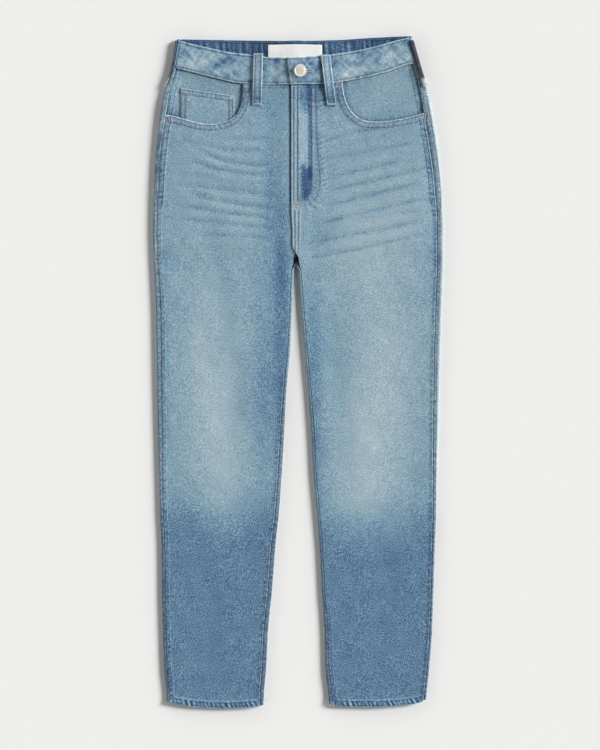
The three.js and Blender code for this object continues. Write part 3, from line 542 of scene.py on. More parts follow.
def front_ridges(side):
    """Lines of the front that are rubbed pale."""
    top, inner_top = MOUTH_END_Y[side], INSEAM_ROWS_Y[side]
    lines = [MOUTH[side], seam_line(side, top, SEAM_END_Y, 0.6), hem_line(side, 0.4), hem_line(side, 10.4)]
    lines.append(inseam_line(side, inner_top, SEAM_END_Y, 0.5))
    if side == "left":
        return [*lines, seam_line(side, top, 190, 9.6), *FLY_RIDGES]
    lines.append(seam_line(side, top, SEAM_END_Y, 9.2, 5.8))
    return [*lines, inseam_line(side, inner_top, SEAM_END_Y, 5.0)]


def front_lilac(side, x, y):
    """How much faded lilac thread and its fluff tint the cloth, between two rows of sewing."""
    away = near(MOUTH[side], x, y)[0]
    tint = 0.6 * smooth((away - 1.2) / 1.2) * smooth((11 - away) / 1.5)
    if side == "left":
        outer, inner = [near(FLY_CURVE[name], x, y)[0] for name in ("outer", "inner")]
        tint = np.maximum(tint, 0.4 * smooth((14 - outer - inner) / 3))
        tint = np.maximum(tint, 0.35 * smooth((4 - np.abs(x + 3.2)) / 2) * smooth((y - 250) / 8))
    return tint


def closest(lines, x, y):
    return np.minimum.reduce([near(line, x, y)[0] for line in lines])


def new_object(name, points, faces):
    """An object at the origin whose mesh has these points, in millimetres, and faces."""
    mesh = bpy.data.meshes.new(name)
    mesh.from_pydata((np.asarray(points) * MM).tolist(), [], [tuple(map(int, f)) for f in faces])
    mesh.shade_smooth()
    made = bpy.data.objects.new(name, mesh)
    bpy.context.scene.collection.objects.link(made)
    return made


def roll_rim(upper, lower, radius):
    """Rounds the rim between two faces of a piece of cloth."""
    middle, half = (upper + lower) / 2, (upper - lower) / 2
    away = np.full(upper.shape[:2], 1e9)
    for axis in (0, 1):
        step = np.linalg.norm(np.diff(middle, axis=axis), axis=2)
        start = np.zeros_like(np.take(step, [0], axis=axis))
        run = np.concatenate([start, np.cumsum(step, axis=axis)], axis=axis)
        away = np.minimum(away, np.minimum(run, np.take(run, [-1], axis=axis) - run))
    share = np.sqrt(1 - (1 - np.clip(away / radius, 0, 1)) ** 2)
    half = half * (0.25 + 0.75 * share)[..., None]
    return middle + half, middle - half


def cloth(name, upper, lower, radius=0.8):
    """A closed wall of cloth between two grids of points, with a rolled rim."""
    upper, lower = roll_rim(upper, lower, radius)
    rows, columns = upper.shape[:2]
    points = np.concatenate([upper.reshape(-1, 3), lower.reshape(-1, 3)])
    spot = np.arange(rows * columns).reshape(rows, columns)
    a, b, c, d = spot[:-1, :-1], spot[:-1, 1:], spot[1:, 1:], spot[1:, :-1]
    top = np.stack([a, b, c, d], -1).reshape(-1, 4)
    rim = np.concatenate([spot[0], spot[1:, -1], spot[-1, -2::-1], spot[-2::-1, 0]])
    under = rows * columns
    edge = np.stack([rim[1:], rim[:-1], rim[:-1] + under, rim[1:] + under], -1)
    faces = np.concatenate([top, top[:, ::-1] + under, edge])
    corners = points[faces]
    twice = np.cross(corners[:, 2] - corners[:, 0], corners[:, 3] - corners[:, 1])
    volume = (corners.mean(1) * twice).sum()
    return new_object(name, points, faces if volume > 0 else faces[:, ::-1])


def paint(piece, **values):
    """Keeps a number for each vertex, worked out from its place in millimetres.

    A value is a number, a function of x and y, or a list of lines: then the nearest is that far off.
    """
    count = len(piece.data.vertices)
    place = np.zeros(count * 3)
    piece.data.vertices.foreach_get("co", place)
    x, y, _ = place.reshape(-1, 3).T / MM
    for name, value in values.items():
        if isinstance(value, list):
            number = closest(value, x, y)
        else:
            number = value(x, y) if callable(value) else np.full(count, float(value))
        piece.data.attributes.new(name, "FLOAT", "POINT").data.foreach_set("value", number)


def cut_mouth(piece, side):
    """Cuts the pocket opening out of a front leg and rolls the cut edge."""
    line = MOUTH[side]
    corner = MOUTH_CORNER[side]
    ring = np.concatenate([line, [(corner[0], line[-1, 1]), corner, (line[0, 0], corner[1])]])
    count = len(ring)
    points = np.concatenate([np.c_[ring, np.full(count, -5)], np.c_[ring, np.full(count, 40)]])
    walls = [(i, (i + 1) % count, (i + 1) % count + count, i + count) for i in range(count)]
    lids = [tuple(range(count))[::-1], tuple(range(count, 2 * count))]
    turn = sum(a[0] * b[1] - b[0] * a[1] for a, b in zip(ring, np.roll(ring, -1, axis=0)))
    faces = walls + lids if turn > 0 else [f[::-1] for f in walls + lids]
    cutter = new_object("mouth_cutter", points, faces)
    cut = piece.modifiers.new("mouth", "BOOLEAN")
    cut.operation, cut.solver, cut.object = "DIFFERENCE", "MANIFOLD", cutter
    bpy.context.view_layer.objects.active = piece
    bpy.ops.object.modifier_apply(modifier=cut.name)
    bpy.data.objects.remove(cutter)
    place = np.zeros(len(piece.data.vertices) * 3)
    piece.data.vertices.foreach_get("co", place)
    place = place.reshape(-1, 3) / MM
    x, y, z = place.T
    rim = near(line, x, y)[0] < 0.05
    middle = front_under(side, x, y) + DENIM / 2
    place[:, 2] = np.where(rim, mix(z, middle, 0.62), z)
    piece.data.vertices.foreach_set("co", (place * MM).ravel())
    piece.data.materials.clear()
    piece.data.shade_smooth()


def colour(text):
    """A colour written as sRGB hex, turned to linear."""
    values = [int(text[i:i + 2], 16) / 255 for i in (1, 3, 5)]
    return (*[v / 12.92 if v <= 0.04045 else ((v + 0.055) / 1.055) ** 2.4 for v in values], 1)


def node(tree, kind, settings=(), inputs=()):
    """Adds a shader node. An input that is given as a socket is linked, any other is set."""
    made = tree.nodes.new("ShaderNode" + kind)
    for name, value in dict(settings).items():
        setattr(made, name, value)
    for name, value in dict(inputs).items():
        if isinstance(value, bpy.types.NodeSocket):
            tree.links.new(value, made.inputs[name])
        else:
            made.inputs[name].default_value = value
    return made


def set_stops(ramp, stops):
    """Puts the stops of a colour ramp: place and colour."""
    stops = list(stops)
    while len(ramp.elements) < len(stops):
        ramp.elements.new(0.5)
    for element, (place, value) in zip(ramp.elements, stops):
        element.position, element.color = place, value


FADED = (
    (0.0, "#2a4167"), (0.15, "#3d5a7e"), (0.32, "#567490"), (0.46, "#688aa1"), (0.60, "#809cab"),
    (0.72, "#92a9b5"), (0.86, "#a7b8c0"), (1.0, "#c9d4d6"),
)
# Change of tone at a sewn edge, by the scaled distance: rubbed rim, row, doubled cloth, row. The dark
# dips at the rows are painted shade of the stitch holes and grooves.
ROWS = (
    (0.0, 0.60), (1.0, 0.58), (1.6, 0.46), (2.3, 0.14), (3.1, 0.46), (4.5, 0.49), (8.2, 0.46),
    (9.3, 0.12), (10.3, 0.53), (11.0, 0.55), (13.0, 0.5),
)
ROWS_REACH = 20


def new_material(name, shade):
    """A material whose shade function adds its nodes and gives the inputs of its shader."""
    made = bpy.data.materials.new(name)
    made.use_nodes = True
    made.node_tree.nodes.clear()
    shader = node(made.node_tree, "BsdfPrincipled", inputs=shade(made.node_tree))
    node(made.node_tree, "OutputMaterial", inputs={"Surface": shader.outputs[0]})
    return made


WAVE_TURN = 2 * math.pi / 20
TWILL = dict(pitch=2.3, heading=-27, distortion=1.6)


def denim(name, cloud=0.18, slub=0.10, grain=1.0, seam=0.7, crackle=0.0, heading=0.0, stops=FADED):
    """Cotton twill denim, yarn dyed indigo, stonewashed.

    The eye sees grey-blue with a grain of white weft and blue warp, faint slubs down the warp,
    pale rubbed edges, and blotches where seam allowances took the stones. The real twill lines
    are 0.6 mm apart, too fine to show, so they are drawn 2.3 mm apart.
    """

    def shade(tree):
        at = {"place": node(tree, "TexCoord").outputs["Object"]}
        for name in ("wash", "seam", "ridge", "lilac"):
            at[name] = node(tree, "Attribute", {"attribute_name": name}).outputs["Fac"]
        for name, source, turn, scale in (
            ("turned", "place", heading, (1, 1, 1)), ("slub place", "turned", 0, (1, 0.16, 1)),
            ("grain place", "turned", 0, (1, 0.7, 1)),
            ("twill place", "turned", math.radians(TWILL["heading"]), (1, 1, 1)),
        ):
            at[name] = node(tree, "Mapping", inputs={
                "Vector": at[source], "Rotation": (0, 0, turn), "Scale": scale}).outputs[0]
        # Pulled cloth is rubbed pale along its little ridges, which slant both ways.
        pulls = {"pull up": 50, "pull down": -35} if crackle else {}
        for name, turn in pulls.items():
            at[name + " place"] = node(tree, "Mapping", {"vector_type": "TEXTURE"}, {
                "Vector": at["place"], "Rotation": (0, 0, math.radians(turn)),
                "Scale": (3, 1, 1)}).outputs[0]
        for name, source, size, detail in (
            ("yarn", "grain place", 1.25, 1), ("cloud", "place", 30, 4), ("slub", "slub place", 3.0, 2),
            ("blotch", "place", 4.2, 2), ("dye", "place", 7, 2),
            *[(name, name + " place", 10, 2) for name in pulls],
        ):
            at[name] = node(tree, "TexNoise", inputs={"Vector": at[source], "Scale": 1 / (size * MM),
                "Detail": detail, "Roughness": 0.6}).outputs["Fac"]
        for name in pulls:
            for operation, inputs in (("SUBTRACT", {1: 0.5}), ("ABSOLUTE", {})):
                at[name] = node(tree, "Math", {"operation": operation}, {0: at[name], **inputs}).outputs[0]
        for name, source, start, end, first, last in (
            ("zone", "seam", 9.0, 13.0, seam, 0.0), ("rubbed", "ridge", 0.2, 2.1, 0.12, 0.0),
            *[(name, name, 0.0, 0.15, 1.0, 0.0) for name in pulls],
        ):
            at[name] = node(tree, "MapRange", {"interpolation_type": "SMOOTHSTEP"}, {
                "Value": at[source], "From Min": start, "From Max": end, "To Min": first,
                "To Max": last}).outputs[0]
        reach = node(tree, "Math", {"operation": "DIVIDE"}, {0: at["seam"], 1: ROWS_REACH}).outputs[0]
        rows = node(tree, "ValToRGB", inputs={"Fac": reach})
        set_stops(rows.color_ramp, [(place / ROWS_REACH, (v, v, v, 1)) for place, v in ROWS])
        at["rows"] = rows.outputs["Color"]
        at["twill"] = node(tree, "TexWave", {"bands_direction": "Y"}, {
            "Vector": at["twill place"], "Scale": WAVE_TURN / (TWILL["pitch"] * MM),
            "Distortion": TWILL["distortion"], "Detail": 1.0}).outputs["Fac"]
        # Each row adds a pattern, less its centre, times its strength, to a base. Where the wash
        # has taken the dye off, white and blue yarns differ less. Cloth doubled at a seam took
        # more wear: its blotches are stronger than the open cloth's.
        for name, pattern, centre, strength, base in (
            ("tone", "cloud", 0.5, cloud, "wash"), ("tone", "slub", 0.5, slub, "tone"),
            ("contrast", "wash", 0.5, -grain, grain * 0.72), ("tone", "yarn", 0.5, "contrast", "tone"),
            ("tone", "blotch", 0.52, "zone", "tone"), ("tone", "rows", 0.5, 1.0, "tone"),
            ("tone", "blotch", -0.3, "rubbed", "tone"),
            *[("tone", name, 0.35, crackle, "tone") for name in pulls],
            ("hue", "dye", 0.5, 0.07, 0.5), ("glint", "contrast", 0.0, 1.3, 0.0),
            ("value", "yarn", 0.5, "glint", 1.0), ("lilac share", "blotch", 0.05, "lilac", -0.08),
            ("height", "yarn", 0.0, 2.4, "twill"),
        ):
            centred = node(tree, "Math", {"operation": "SUBTRACT"}, {0: at[pattern], 1: centre}).outputs[0]
            at[name] = node(tree, "Math", {"operation": "MULTIPLY_ADD"}, {
                0: centred, 1: at.get(strength, strength), 2: at.get(base, base)}).outputs[0]
        ramp = node(tree, "ValToRGB", inputs={"Fac": at["tone"]})
        set_stops(ramp.color_ramp, [(place, colour(text)) for place, text in stops])
        varied = node(tree, "HueSaturation", inputs={"Hue": at["hue"], "Value": at["value"],
            "Color": ramp.outputs["Color"]}).outputs[0]
        tinted = node(tree, "Mix", {"data_type": "RGBA"}, {
            0: at["lilac share"], 6: varied, 7: colour("#8a8ba0")}).outputs[2]
        bump = node(tree, "Bump", inputs={
            "Height": at["height"], "Strength": 0.5, "Distance": 0.0003}).outputs[0]
        return {"Base Color": tinted, "Roughness": 0.92, "Specular IOR Level": 0.18,
            "Sheen Weight": 0.10, "Sheen Roughness": 0.5, "Normal": bump}

    return new_material(name, shade)


def lay(piece, material, stands_for):
    """Gives a piece of cloth its material, hangs it on the root and hides the solid it stands for."""
    piece.data.materials.append(material)
    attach(piece, "root")
    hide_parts(stands_for)


FRONT_DENIM = denim("stonewashed_twill_denim_front")
for side in SIGN:
    depth = stations(FRONT_LENGTH, 3.6, ((0, 285, 1.6), (FRONT_LENGTH - 13, FRONT_LENGTH, 1.2)))
    depth = (depth * FRONT_LENGTH)[:, None]
    across = stations(200, 1.85, ((0, 42, 1.35), (186, 200, 1.1)))[None, :]
    x, y = front_spot(side, depth, across)
    under = front_under(side, x, y)
    relief = front_relief(side, x, y)
    hem = np.where(depth > FRONT_LENGTH - HEM_HEIGHT - 0.5, HEM_EXTRA, 0)
    # Above the pockets the cloth keeps clear of the facing, so the relief only rises there.
    kept = np.maximum(relief, -0.25 * smooth((y - CREASE_TOP + 20) / 20) - 0.9 * (y < CREASE_TOP))
    upper = grid(x, y, under + DENIM + kept)
    lower = grid(x, y, under - hem)
    leg = cloth("front_leg_" + side, upper, lower)
    cut_mouth(leg, side)
    edges, ridges = front_edges(side), front_ridges(side)
    paint(
        leg, wash=lambda x, y: front_wash(side, x, y),
        seam=lambda x, y: sewn_relief(edges, x, y)[2], ridge=ridges,
        lilac=lambda x, y: front_lilac(side, x, y),
    )
    lay(leg, FRONT_DENIM, "front_" + side)


# Back legs and yokes: the same denim. Each back leg turns up round the outer fold and, below the
# crotch, round the inner fold, and is joined to the front at the side seam and the inseam. The
# yoke is a shaped strip between it and the waistband. They lie on the ground, face down.
FOLD_RADIUS = 2.0
BACK_LENGTH = YOKE_CENTRE_Y - HEM_LEVEL
BACK_SEAM = table("x y", (-190, 456), (-60, 455), (60, 456.5), (172, 461), (190, 461))
# Soft creases of the back, which lies underneath: behind the knees and under the seat.
BACK_CREASES = table(
    "x0 y0 x1 y1 sag wide depth",
    (-190, 12, -60, -6, -8, 6, 0.7), (-186, -30, -96, -44, -5, 5, 0.5), (-150, -66, -40, -60, 6, 7, 0.6),
    (44, 4, 190, 22, -9, 6, 0.7), (58, -38, 170, -30, 5, 5, 0.5), (90, -74, 196, -62, -4, 7, 0.6),
    (-196, 186, -70, 170, 7, 6, 0.5), (60, 172, 200, 190, 6, 6, 0.5), (-150, 148, -30, 142, -4, 5, 0.4),
    (30, 140, 150, 150, -4, 5, 0.4),
)


def back_row_y(x, depth):
    """Height on the garment of a back row that starts a depth below the yoke seam."""
    top = (yoke_seam_y(x) - YOKE_CENTRE_Y) * (1 - smooth(depth / 90))
    hem = along(HEM_RISE, "x", x, "rise") * smooth((depth - BACK_LENGTH + 60) / 50)
    slack = SEAM_GAP / 2 * (1 - smooth(depth / 90))
    return YOKE_CENTRE_Y - depth - slack + top + hem


def yoke_row_y(x, share):
    top = along(BACK_SEAM, "x", x, "y") - SEAM_GAP / 2
    return mix(top, yoke_seam_y(x) + SEAM_GAP / 2, share)


def curl(length, share, radius):
    """Cloth that turns up by a share of a half turn, then runs on straight: its way and slope."""
    bent = np.minimum(length, math.pi * radius)
    rest = length - bent
    share = np.maximum(share, 1e-3)
    angle = share * bent / radius
    side = radius / share * np.sin(angle) + rest * np.cos(angle)
    height = radius / share * (1 - np.cos(angle)) + rest * np.sin(angle)
    return side, height, angle


def curl_point(length, share, radius, top, wall, extra, outer_face):
    """A point of the turned edge, on the outer or the inner face of the wall."""
    side, height, angle = curl(length, share, radius)
    tallest = np.maximum(2 * radius, curl(math.pi * radius, share, radius)[1])
    scale = top / tallest
    rise, run = scale * np.sin(angle), np.cos(angle)
    size = np.hypot(rise, run)
    offset = wall / 2 if outer_face else -wall / 2 - extra
    return side + offset * rise / size, wall / 2 + scale * height - offset * run / size


def back_creases(x, y):
    depth = np.zeros_like(x)
    for x0, y0, x1, y1, sag, wide, deep in zip(*BACK_CREASES.values()):
        t = np.clip((x - x0) / (x1 - x0), 0, 1)
        away = y - mix(y0, y1, t) - sag * 4 * t * (1 - t)
        depth += deep * smooth(4 * t) * smooth(4 * (1 - t)) * bell(away, 0, wide)
    return depth


def back_grid(side, row_y, depth, extra, outer_face):
    """Points of the back cloth, from the side seam round the outer fold to the inseam."""
    sign, arc, radius = SIGN[side], math.pi * FOLD_RADIUS, FOLD_RADIUS
    outer_y = row_y(sign * float(OUTER_REFERENCE), depth)
    inset, edge = outline(side, "seam", outer_y), outline(side, "outer", outer_y)
    outer_base = edge - sign * (radius + DENIM / 2)
    outer_top = front_under(side, edge - sign * inset, outer_y)
    inner_y = row_y(float(CENTRE_X), depth)
    turn = smooth((CROTCH_Y + 3 - inner_y) / 18)
    inner, inseam = outline(side, "inner", inner_y), outline(side, "inseam", inner_y)
    strip = inseam - radius - DENIM / 2 - SEAM_GAP / 2
    reach = np.maximum.reduce([curl(s * arc, turn, radius)[0] for s in (0, 1 / 3, 2 / 3, 1)])
    reach = np.maximum(reach, curl(arc + strip, turn, radius)[0])
    inner_base = inner + sign * (reach + DENIM / 2 * smooth(6 * turn))
    inner_top = front_under(side, inner + sign * inseam, inner_y)

    outer_strip = inset - radius - DENIM / 2 - SIDE_GAP / 2
    over = np.array([1.0, 0.94, 0.8, 0.55, 0.3])
    shares = np.linspace(1, 0, 11)
    lengths = np.concatenate([arc + outer_strip * over, arc * shares + 0 * depth], axis=1)
    out, high = curl_point(lengths, 1.0, radius, outer_top, DENIM, extra, outer_face)
    columns = [grid(outer_base + sign * out, outer_y, high)]

    middle = np.linspace(0, 1, 58)[None, 1:-1]
    x = mix(outer_base, inner_base, middle)
    y = row_y(x, depth)
    crease = back_creases(x, y) * smooth((2 * middle * (1 - middle)) * 8)
    z = lift(x, y) + crease + (0 if outer_face else DENIM + extra)
    columns.append(grid(x, y, z))

    lengths = np.concatenate([arc * shares[::-1] + 0 * depth, arc + strip * over[::-1]], axis=1)
    out, high = curl_point(lengths, turn, radius, inner_top, DENIM, extra, outer_face)
    x = inner_base - sign * out
    columns.append(grid(x, row_y(inner_base, depth), high + lift(x, outer_y)))
    return np.concatenate(columns, axis=1)


def back_wash(side, x, y):
    """The back is worn a little less than the front, most on the seat; its creases and the crotch are
    painted darker as shade.
    """
    seat = 0.14 * bell(np.abs(x), 95, 60) * bell(y, 265, 80)
    shade = 0.45 * bell(x, CENTRE_X, 7) * bell(y, CROTCH_Y + 8, 16)
    return wash(side, x, y, front=False) * 0.94 + 0.02 + seat - 0.12 * back_creases(x, y) - shade


def back_edges(side):
    """Sewn edges of the back: both seams, the yoke seam, the seat seam and the hem."""
    x = SIGN[side] * np.linspace(3, 205, 20)
    seat = np.array([(CENTRE_X, BACK_TOP_Y), (CENTRE_X, CROTCH_Y)], float)
    return [
        ("side", seam_line(side, BACK_TOP_Y, SEAM_END_Y)),
        ("inseam", inseam_line(side, INSEAM_ROWS_Y[side], SEAM_END_Y)),
        ("hem", hem_line(side, 0)), ("mouth", np.stack([x, yoke_seam_y(x)], 1)), ("inseam", seat),
    ]


# The back's colours are greyer and a little darker than the front's: painted shade on the same cloth,
# to temper the strong light on the strips that turn up round the folds.
BACK_SHADED_STOPS = (
    (0.0, "#2f3f58"), (0.15, "#43566e"), (0.32, "#5a6e82"), (0.46, "#6b8292"), (0.60, "#8197a3"),
    (0.72, "#92a4ac"), (0.86, "#a7b4ba"), (1.0, "#c7d0d2"),
)
BACK_DENIM = denim("stonewashed_twill_denim_back", stops=BACK_SHADED_STOPS)
BACK_CUT = {"right": (0.25, 0.925, 0.199), "left": (0.26, 0.925, 0.201)}
YOKE_CUT = dict.fromkeys(SIGN, (0.215, 0.085, 0.0122))
for side in SIGN:
    for name, stands_for, cut, row_y, depth in (
        ("back_leg_", "back_", BACK_CUT, back_row_y, stations(BACK_LENGTH, 3.8) * BACK_LENGTH),
        ("back_yoke_", "yoke_", YOKE_CUT, yoke_row_y, stations(60, 3.4)),
    ):
        depth = depth[:, None]
        extra = np.where(depth > BACK_LENGTH - HEM_HEIGHT - 0.5, HEM_EXTRA, 0)
        outer = back_grid(side, row_y, depth, extra, True)
        inner = back_grid(side, row_y, depth, extra, False)
        panel = cloth(name + side, outer, inner, 0.5)
        edges = back_edges(side)
        strip = {"right": -1.2, "left": -7.2}[side]
        ridges = [
            seam_line(side, BACK_TOP_Y, SEAM_END_Y, strip),
            inseam_line(side, INSEAM_ROWS_Y[side], SEAM_END_Y, -0.4),
        ]
        paint(
            panel, wash=lambda x, y: back_wash(side, x, y) + 0.5 * sewn_relief(edges, x, y)[1],
            seam=lambda x, y: sewn_relief(edges, x, y)[2], ridge=ridges,
        )
        lay(panel, BACK_DENIM, stands_for + side)


# Waistband: a doubled strip of denim. The two front halves curve down to the middle, where the
# left one laps over the right as a tab. The back half shows its inside above the front edge: it
# is darker there, with pale upright puckers.
BAND = 2.8
BAND_FOLD_RADIUS = 2.3
BAND_UNDER = 4.6
BAND_RISE = 1.85
BAND_INSET = 4.4
TAB_END = dict(top=-16.5, bottom=-10.8)
UNDERBAND_END_X = 27
FRONT_TOP = table(
    "x y",
    (-182, 498), (-160, 491.5), (-136, 486), (-100, 478.5), (-72, 475.5), (-42, 471.5), (-16, 471),
    (35, 474), (88, 481.5), (117, 488), (145, 496), (170, 502),
)
BACK_TOP = table("x y", (-182, 499), (-6, 496.5), (60, 498), (117, 501.5), (172, 504))
BAND_FRONT, BAND_BACK = (FRONT_SEAM, FRONT_TOP), (BACK_SEAM, BACK_TOP)


def band_under(side, x):
    rise = BAND_RISE * smooth((34 - np.abs(x - CENTRE_X)) / 14)
    ride = (BAND + SEAM_GAP) * smooth((52 - x) / 22) if side == "left" else 0
    return BAND_UNDER + rise + ride


def band_line(edges, x, share):
    """Height on the garment of a line that runs along the band, 0 at its seam and 1 at its top."""
    seam, top = edges
    return mix(along(seam, "x", x, "y") + SEAM_GAP / 2, along(top, "x", x, "y"), share)


def band_row(edges, x, share):
    return np.stack([x, band_line(edges, x, share)], 1)


def crinkle(x, y):
    """Slanting pulls in a waistband between its two rows of sewing."""
    a = np.sin((x * 0.8 + y) / 3.1 + 2.2 * np.sin(x / 23)) * np.sin(x / 11 + y / 19 + 1)
    b = np.sin((x * 0.55 - y) / 4.3 + 1.7 * np.sin(x / 31 + 2)) * np.sin(x / 17 - 0.6)
    return 0.5 * a + 0.5 * b


def band_zone(share):
    return smooth(share * 6) * smooth((1 - share) * 6)


BAND_DENIM = denim("stonewashed_twill_denim_waistband", cloud=0.9, slub=0.06, grain=0.6, seam=0.3,
    crackle=0.17, heading=math.radians(52))


def band_ends(side, share):
    edge_y = band_line(BAND_FRONT, SIGN[side] * float(OUTER_REFERENCE), share)
    outer_x = outline(side, "outer", edge_y) - SIGN[side] * (BAND_INSET + SEAM_GAP / 2)
    if side == "left":
        return mix(TAB_END["bottom"], TAB_END["top"], share), outer_x
    return UNDERBAND_END_X + 0 * share, outer_x


def band_height(side, x, y, share):
    ripple = wobble(x, 7.3) * 0.18 * (bell(share, 0, 1 / 6) + bell(share, 1, 1 / 6))
    groove = bell(share, 0.09, 0.035) + bell(share, 0.93, 0.035)
    inner = crinkle(x, y) * 0.32 * band_zone(share)
    return band_under(side, x) + BAND + inner + ripple - 0.2 * groove


def share_of_band(edges, x, y):
    low, high = band_line(edges, x, 0), band_line(edges, x, 1)
    return np.clip((y - low) / (high - low), 0, 1)


BAND_TONE = 0.50
BAND_TONES = table(
    "side x y wide tall change",
    ("left", 14, 452, 24, 16, -0.20), ("left", -8, 440, 7, 16, 0.26), ("left", 44, 455, 12, 20, -0.12),
    ("left", 90, 452, 26, 8, 0.12), ("left", 150, 470, 30, 14, 0.04), ("right", -30, 448, 14, 12, 0.14),
    ("right", -52, 460, 8, 16, -0.12), ("right", -80, 448, 14, 16, 0.04),
    ("right", -150, 465, 26, 12, 0.03),
    ("right", -100, 462, 20, 10, -0.06), ("left", 70, 470, 14, 8, 0.06),
)

# Painted shade in the slit of the buttonhole, and the pull of the button beside it: a crease painted
# as a dark line with a painted highlight beside it.
BUTTONHOLE_SHADE_AND_HIGHLIGHT = table(
    "side x0 y0 x1 y1 wide change",
    ("left", 11, 451, 25, 451, 0.9, -0.55), ("left", 5, 467, 13, 455, 2.2, -0.22),
    ("left", 9, 467, 17, 455, 1.6, 0.20), ("left", 26, 444, 34, 432, 2.5, -0.15),
)


def band_wash(side, x, y):
    share = share_of_band(BAND_FRONT, x, y)
    tone = BAND_TONE + 0.13 * crinkle(x, y) * band_zone(share)
    tone += patches(marks(BAND_TONES, side), x, y) + strokes(marks(BUTTONHOLE_SHADE_AND_HIGHLIGHT, side), x, y, 2)
    return tone + 0.08 * bell(share, 0.25, 0.16)


for side in SIGN:
    share = stations(43, 1.2)[:, None]
    inner_x, outer_x = band_ends(side, share)
    x = mix(inner_x, outer_x, stations(190, 1.3)[None, :])
    y = band_line(BAND_FRONT, x, share)
    upper = grid(x, y, band_height(side, x, y, share))
    lower = grid(x, y, band_under(side, x))
    band = cloth("waistband_front_" + side, upper, lower, 1.5)
    run = np.linspace(*band_ends(side, np.array([0.5])), 40)[:, 0]
    rims = [band_row(BAND_FRONT, run, s) for s in (0.0, 1.0)]
    ridges = list(rims)
    if side == "left":
        ends = np.array([0.0, 1.0])
        ridges += [band_row(BAND_FRONT, band_ends(side, ends)[0], ends) + (away, 0) for away in (0.3, 6.5)]
    paint(
        band, wash=lambda x, y: band_wash(side, x, y),
        seam=lambda x, y: np.minimum(closest(rims, x, y) * 0.72, 8),
        ridge=lambda x, y: closest(ridges, x, y) * 0.8,
    )
    lay(band, BAND_DENIM, "waistband_" + side)


def back_band_grid(share, outer_face):
    arc = math.pi * BAND_FOLD_RADIUS
    strip = BAND_INSET - BAND_FOLD_RADIUS - BAND / 2 - SEAM_GAP / 2
    parts, bases = {}, {}
    shares = np.concatenate([arc + strip * np.array([1, 0.9, 0.6, 0.3]), arc * np.linspace(1, 0, 11)])
    for side, sign in SIGN.items():
        edge_y = band_line(BAND_BACK, sign * float(OUTER_REFERENCE), share)
        base = outline(side, "outer", edge_y) - sign * (BAND_FOLD_RADIUS + BAND / 2)
        out, high = curl_point(shares[None, :], 1.0, BAND_FOLD_RADIUS, BAND_UNDER, BAND, 0, outer_face)
        parts[side] = grid(base + sign * out, edge_y, high)
        bases[side] = base
    x = mix(bases["right"], bases["left"], np.linspace(0, 1, 160)[None, 1:-1])
    y = band_line(BAND_BACK, x, share)
    z = lift(x, y) + (0 if outer_face else BAND)
    if not outer_face:
        z = z + 0.28 * wobble(x, 9.6) * band_zone(share)
    else:
        z = z + 0.12 + 0.12 * crinkle(x, y) * band_zone(share)
    middle = grid(x, y, z)
    return np.concatenate([parts["right"], middle, parts["left"][:, ::-1]], axis=1)


def inside_wash(x, y):
    """Dark inside with pale upright puckers, and the outer face where the band turns the side."""
    share = share_of_band(BAND_BACK, x, y)
    streak = np.clip(wobble(x + 0.1 * y, 9.6) + 0.35 * wobble(x, 5.7), -0.6, 1.2)
    inner = 0.22 + 0.30 * streak * band_zone(share) + 0.07 * np.sin(x / 29)
    side_x = np.where(x < 0, outline("right", "outer", y), outline("left", "outer", y))
    return mix(inner, BAND_TONE, smooth(np.abs(x) - np.abs(side_x) + BAND_INSET + 3))


INSIDE_STOPS = (
    (0.0, "#22354f"), (0.2, "#38557a"), (0.4, "#547493"), (0.6, "#7d9cae"), (1.0, "#c3d1d5"),
)
INSIDE_DENIM = denim("stonewashed_twill_denim_inside", cloud=0.2, slub=0.3, grain=0.9, seam=0.3,
    stops=INSIDE_STOPS)
share = stations(43, 2.2)[:, None]
inside = cloth("waistband_inside_back", back_band_grid(share, False), back_band_grid(share, True), 1.5)
run = np.linspace(-180, 170, 40)
rims = [band_row(BAND_BACK, run, s) for s in (0.0, 1.0)]
paint(inside, wash=inside_wash, seam=lambda x, y: closest(rims, x, y) * 2.0, ridge=rims)
lay(inside, INSIDE_DENIM, "waistband_back")


# Pocket facings, coin pocket and back pockets: the same denim, sewn under the pocket mouth, on
# the right facing and on the seat. The facings show the full wash inside the scooped mouth.
FACING = 1.1
FACING_INNER = {"right": -68, "left": 52}
FACING_DEPTH = 76
FACING_DROP = 1.6
FACING_LIP = dict(rise=1.3, reach=14, clear={"right": -84.5, "left": 70})
COIN = dict(left=-176, right=-95.5, top_left=425.5, top_right=414, bottom_left=369, bottom_right=368,
    wall=1.0)
BACK_POCKET = dict(inner=36, outer=164, drop=18, side=132, point=150, wall=1.2, taper=8)
FACING_TONE, COIN_TONE = 0.585, 0.58
FACING_DENIM = denim("stonewashed_twill_denim_facing", cloud=0.10, slub=0.14, grain=1.0)


def facing_wash(side, x, y):
    # Near the mouth the facing is painted darker: painted shade under the cut edge of the front.
    edge = near(MOUTH[side], x, y)[0]
    return FACING_TONE - 0.24 * bell(edge, 0, 4) + 0.03 * np.sin(x / 17) * np.sin(y / 13)


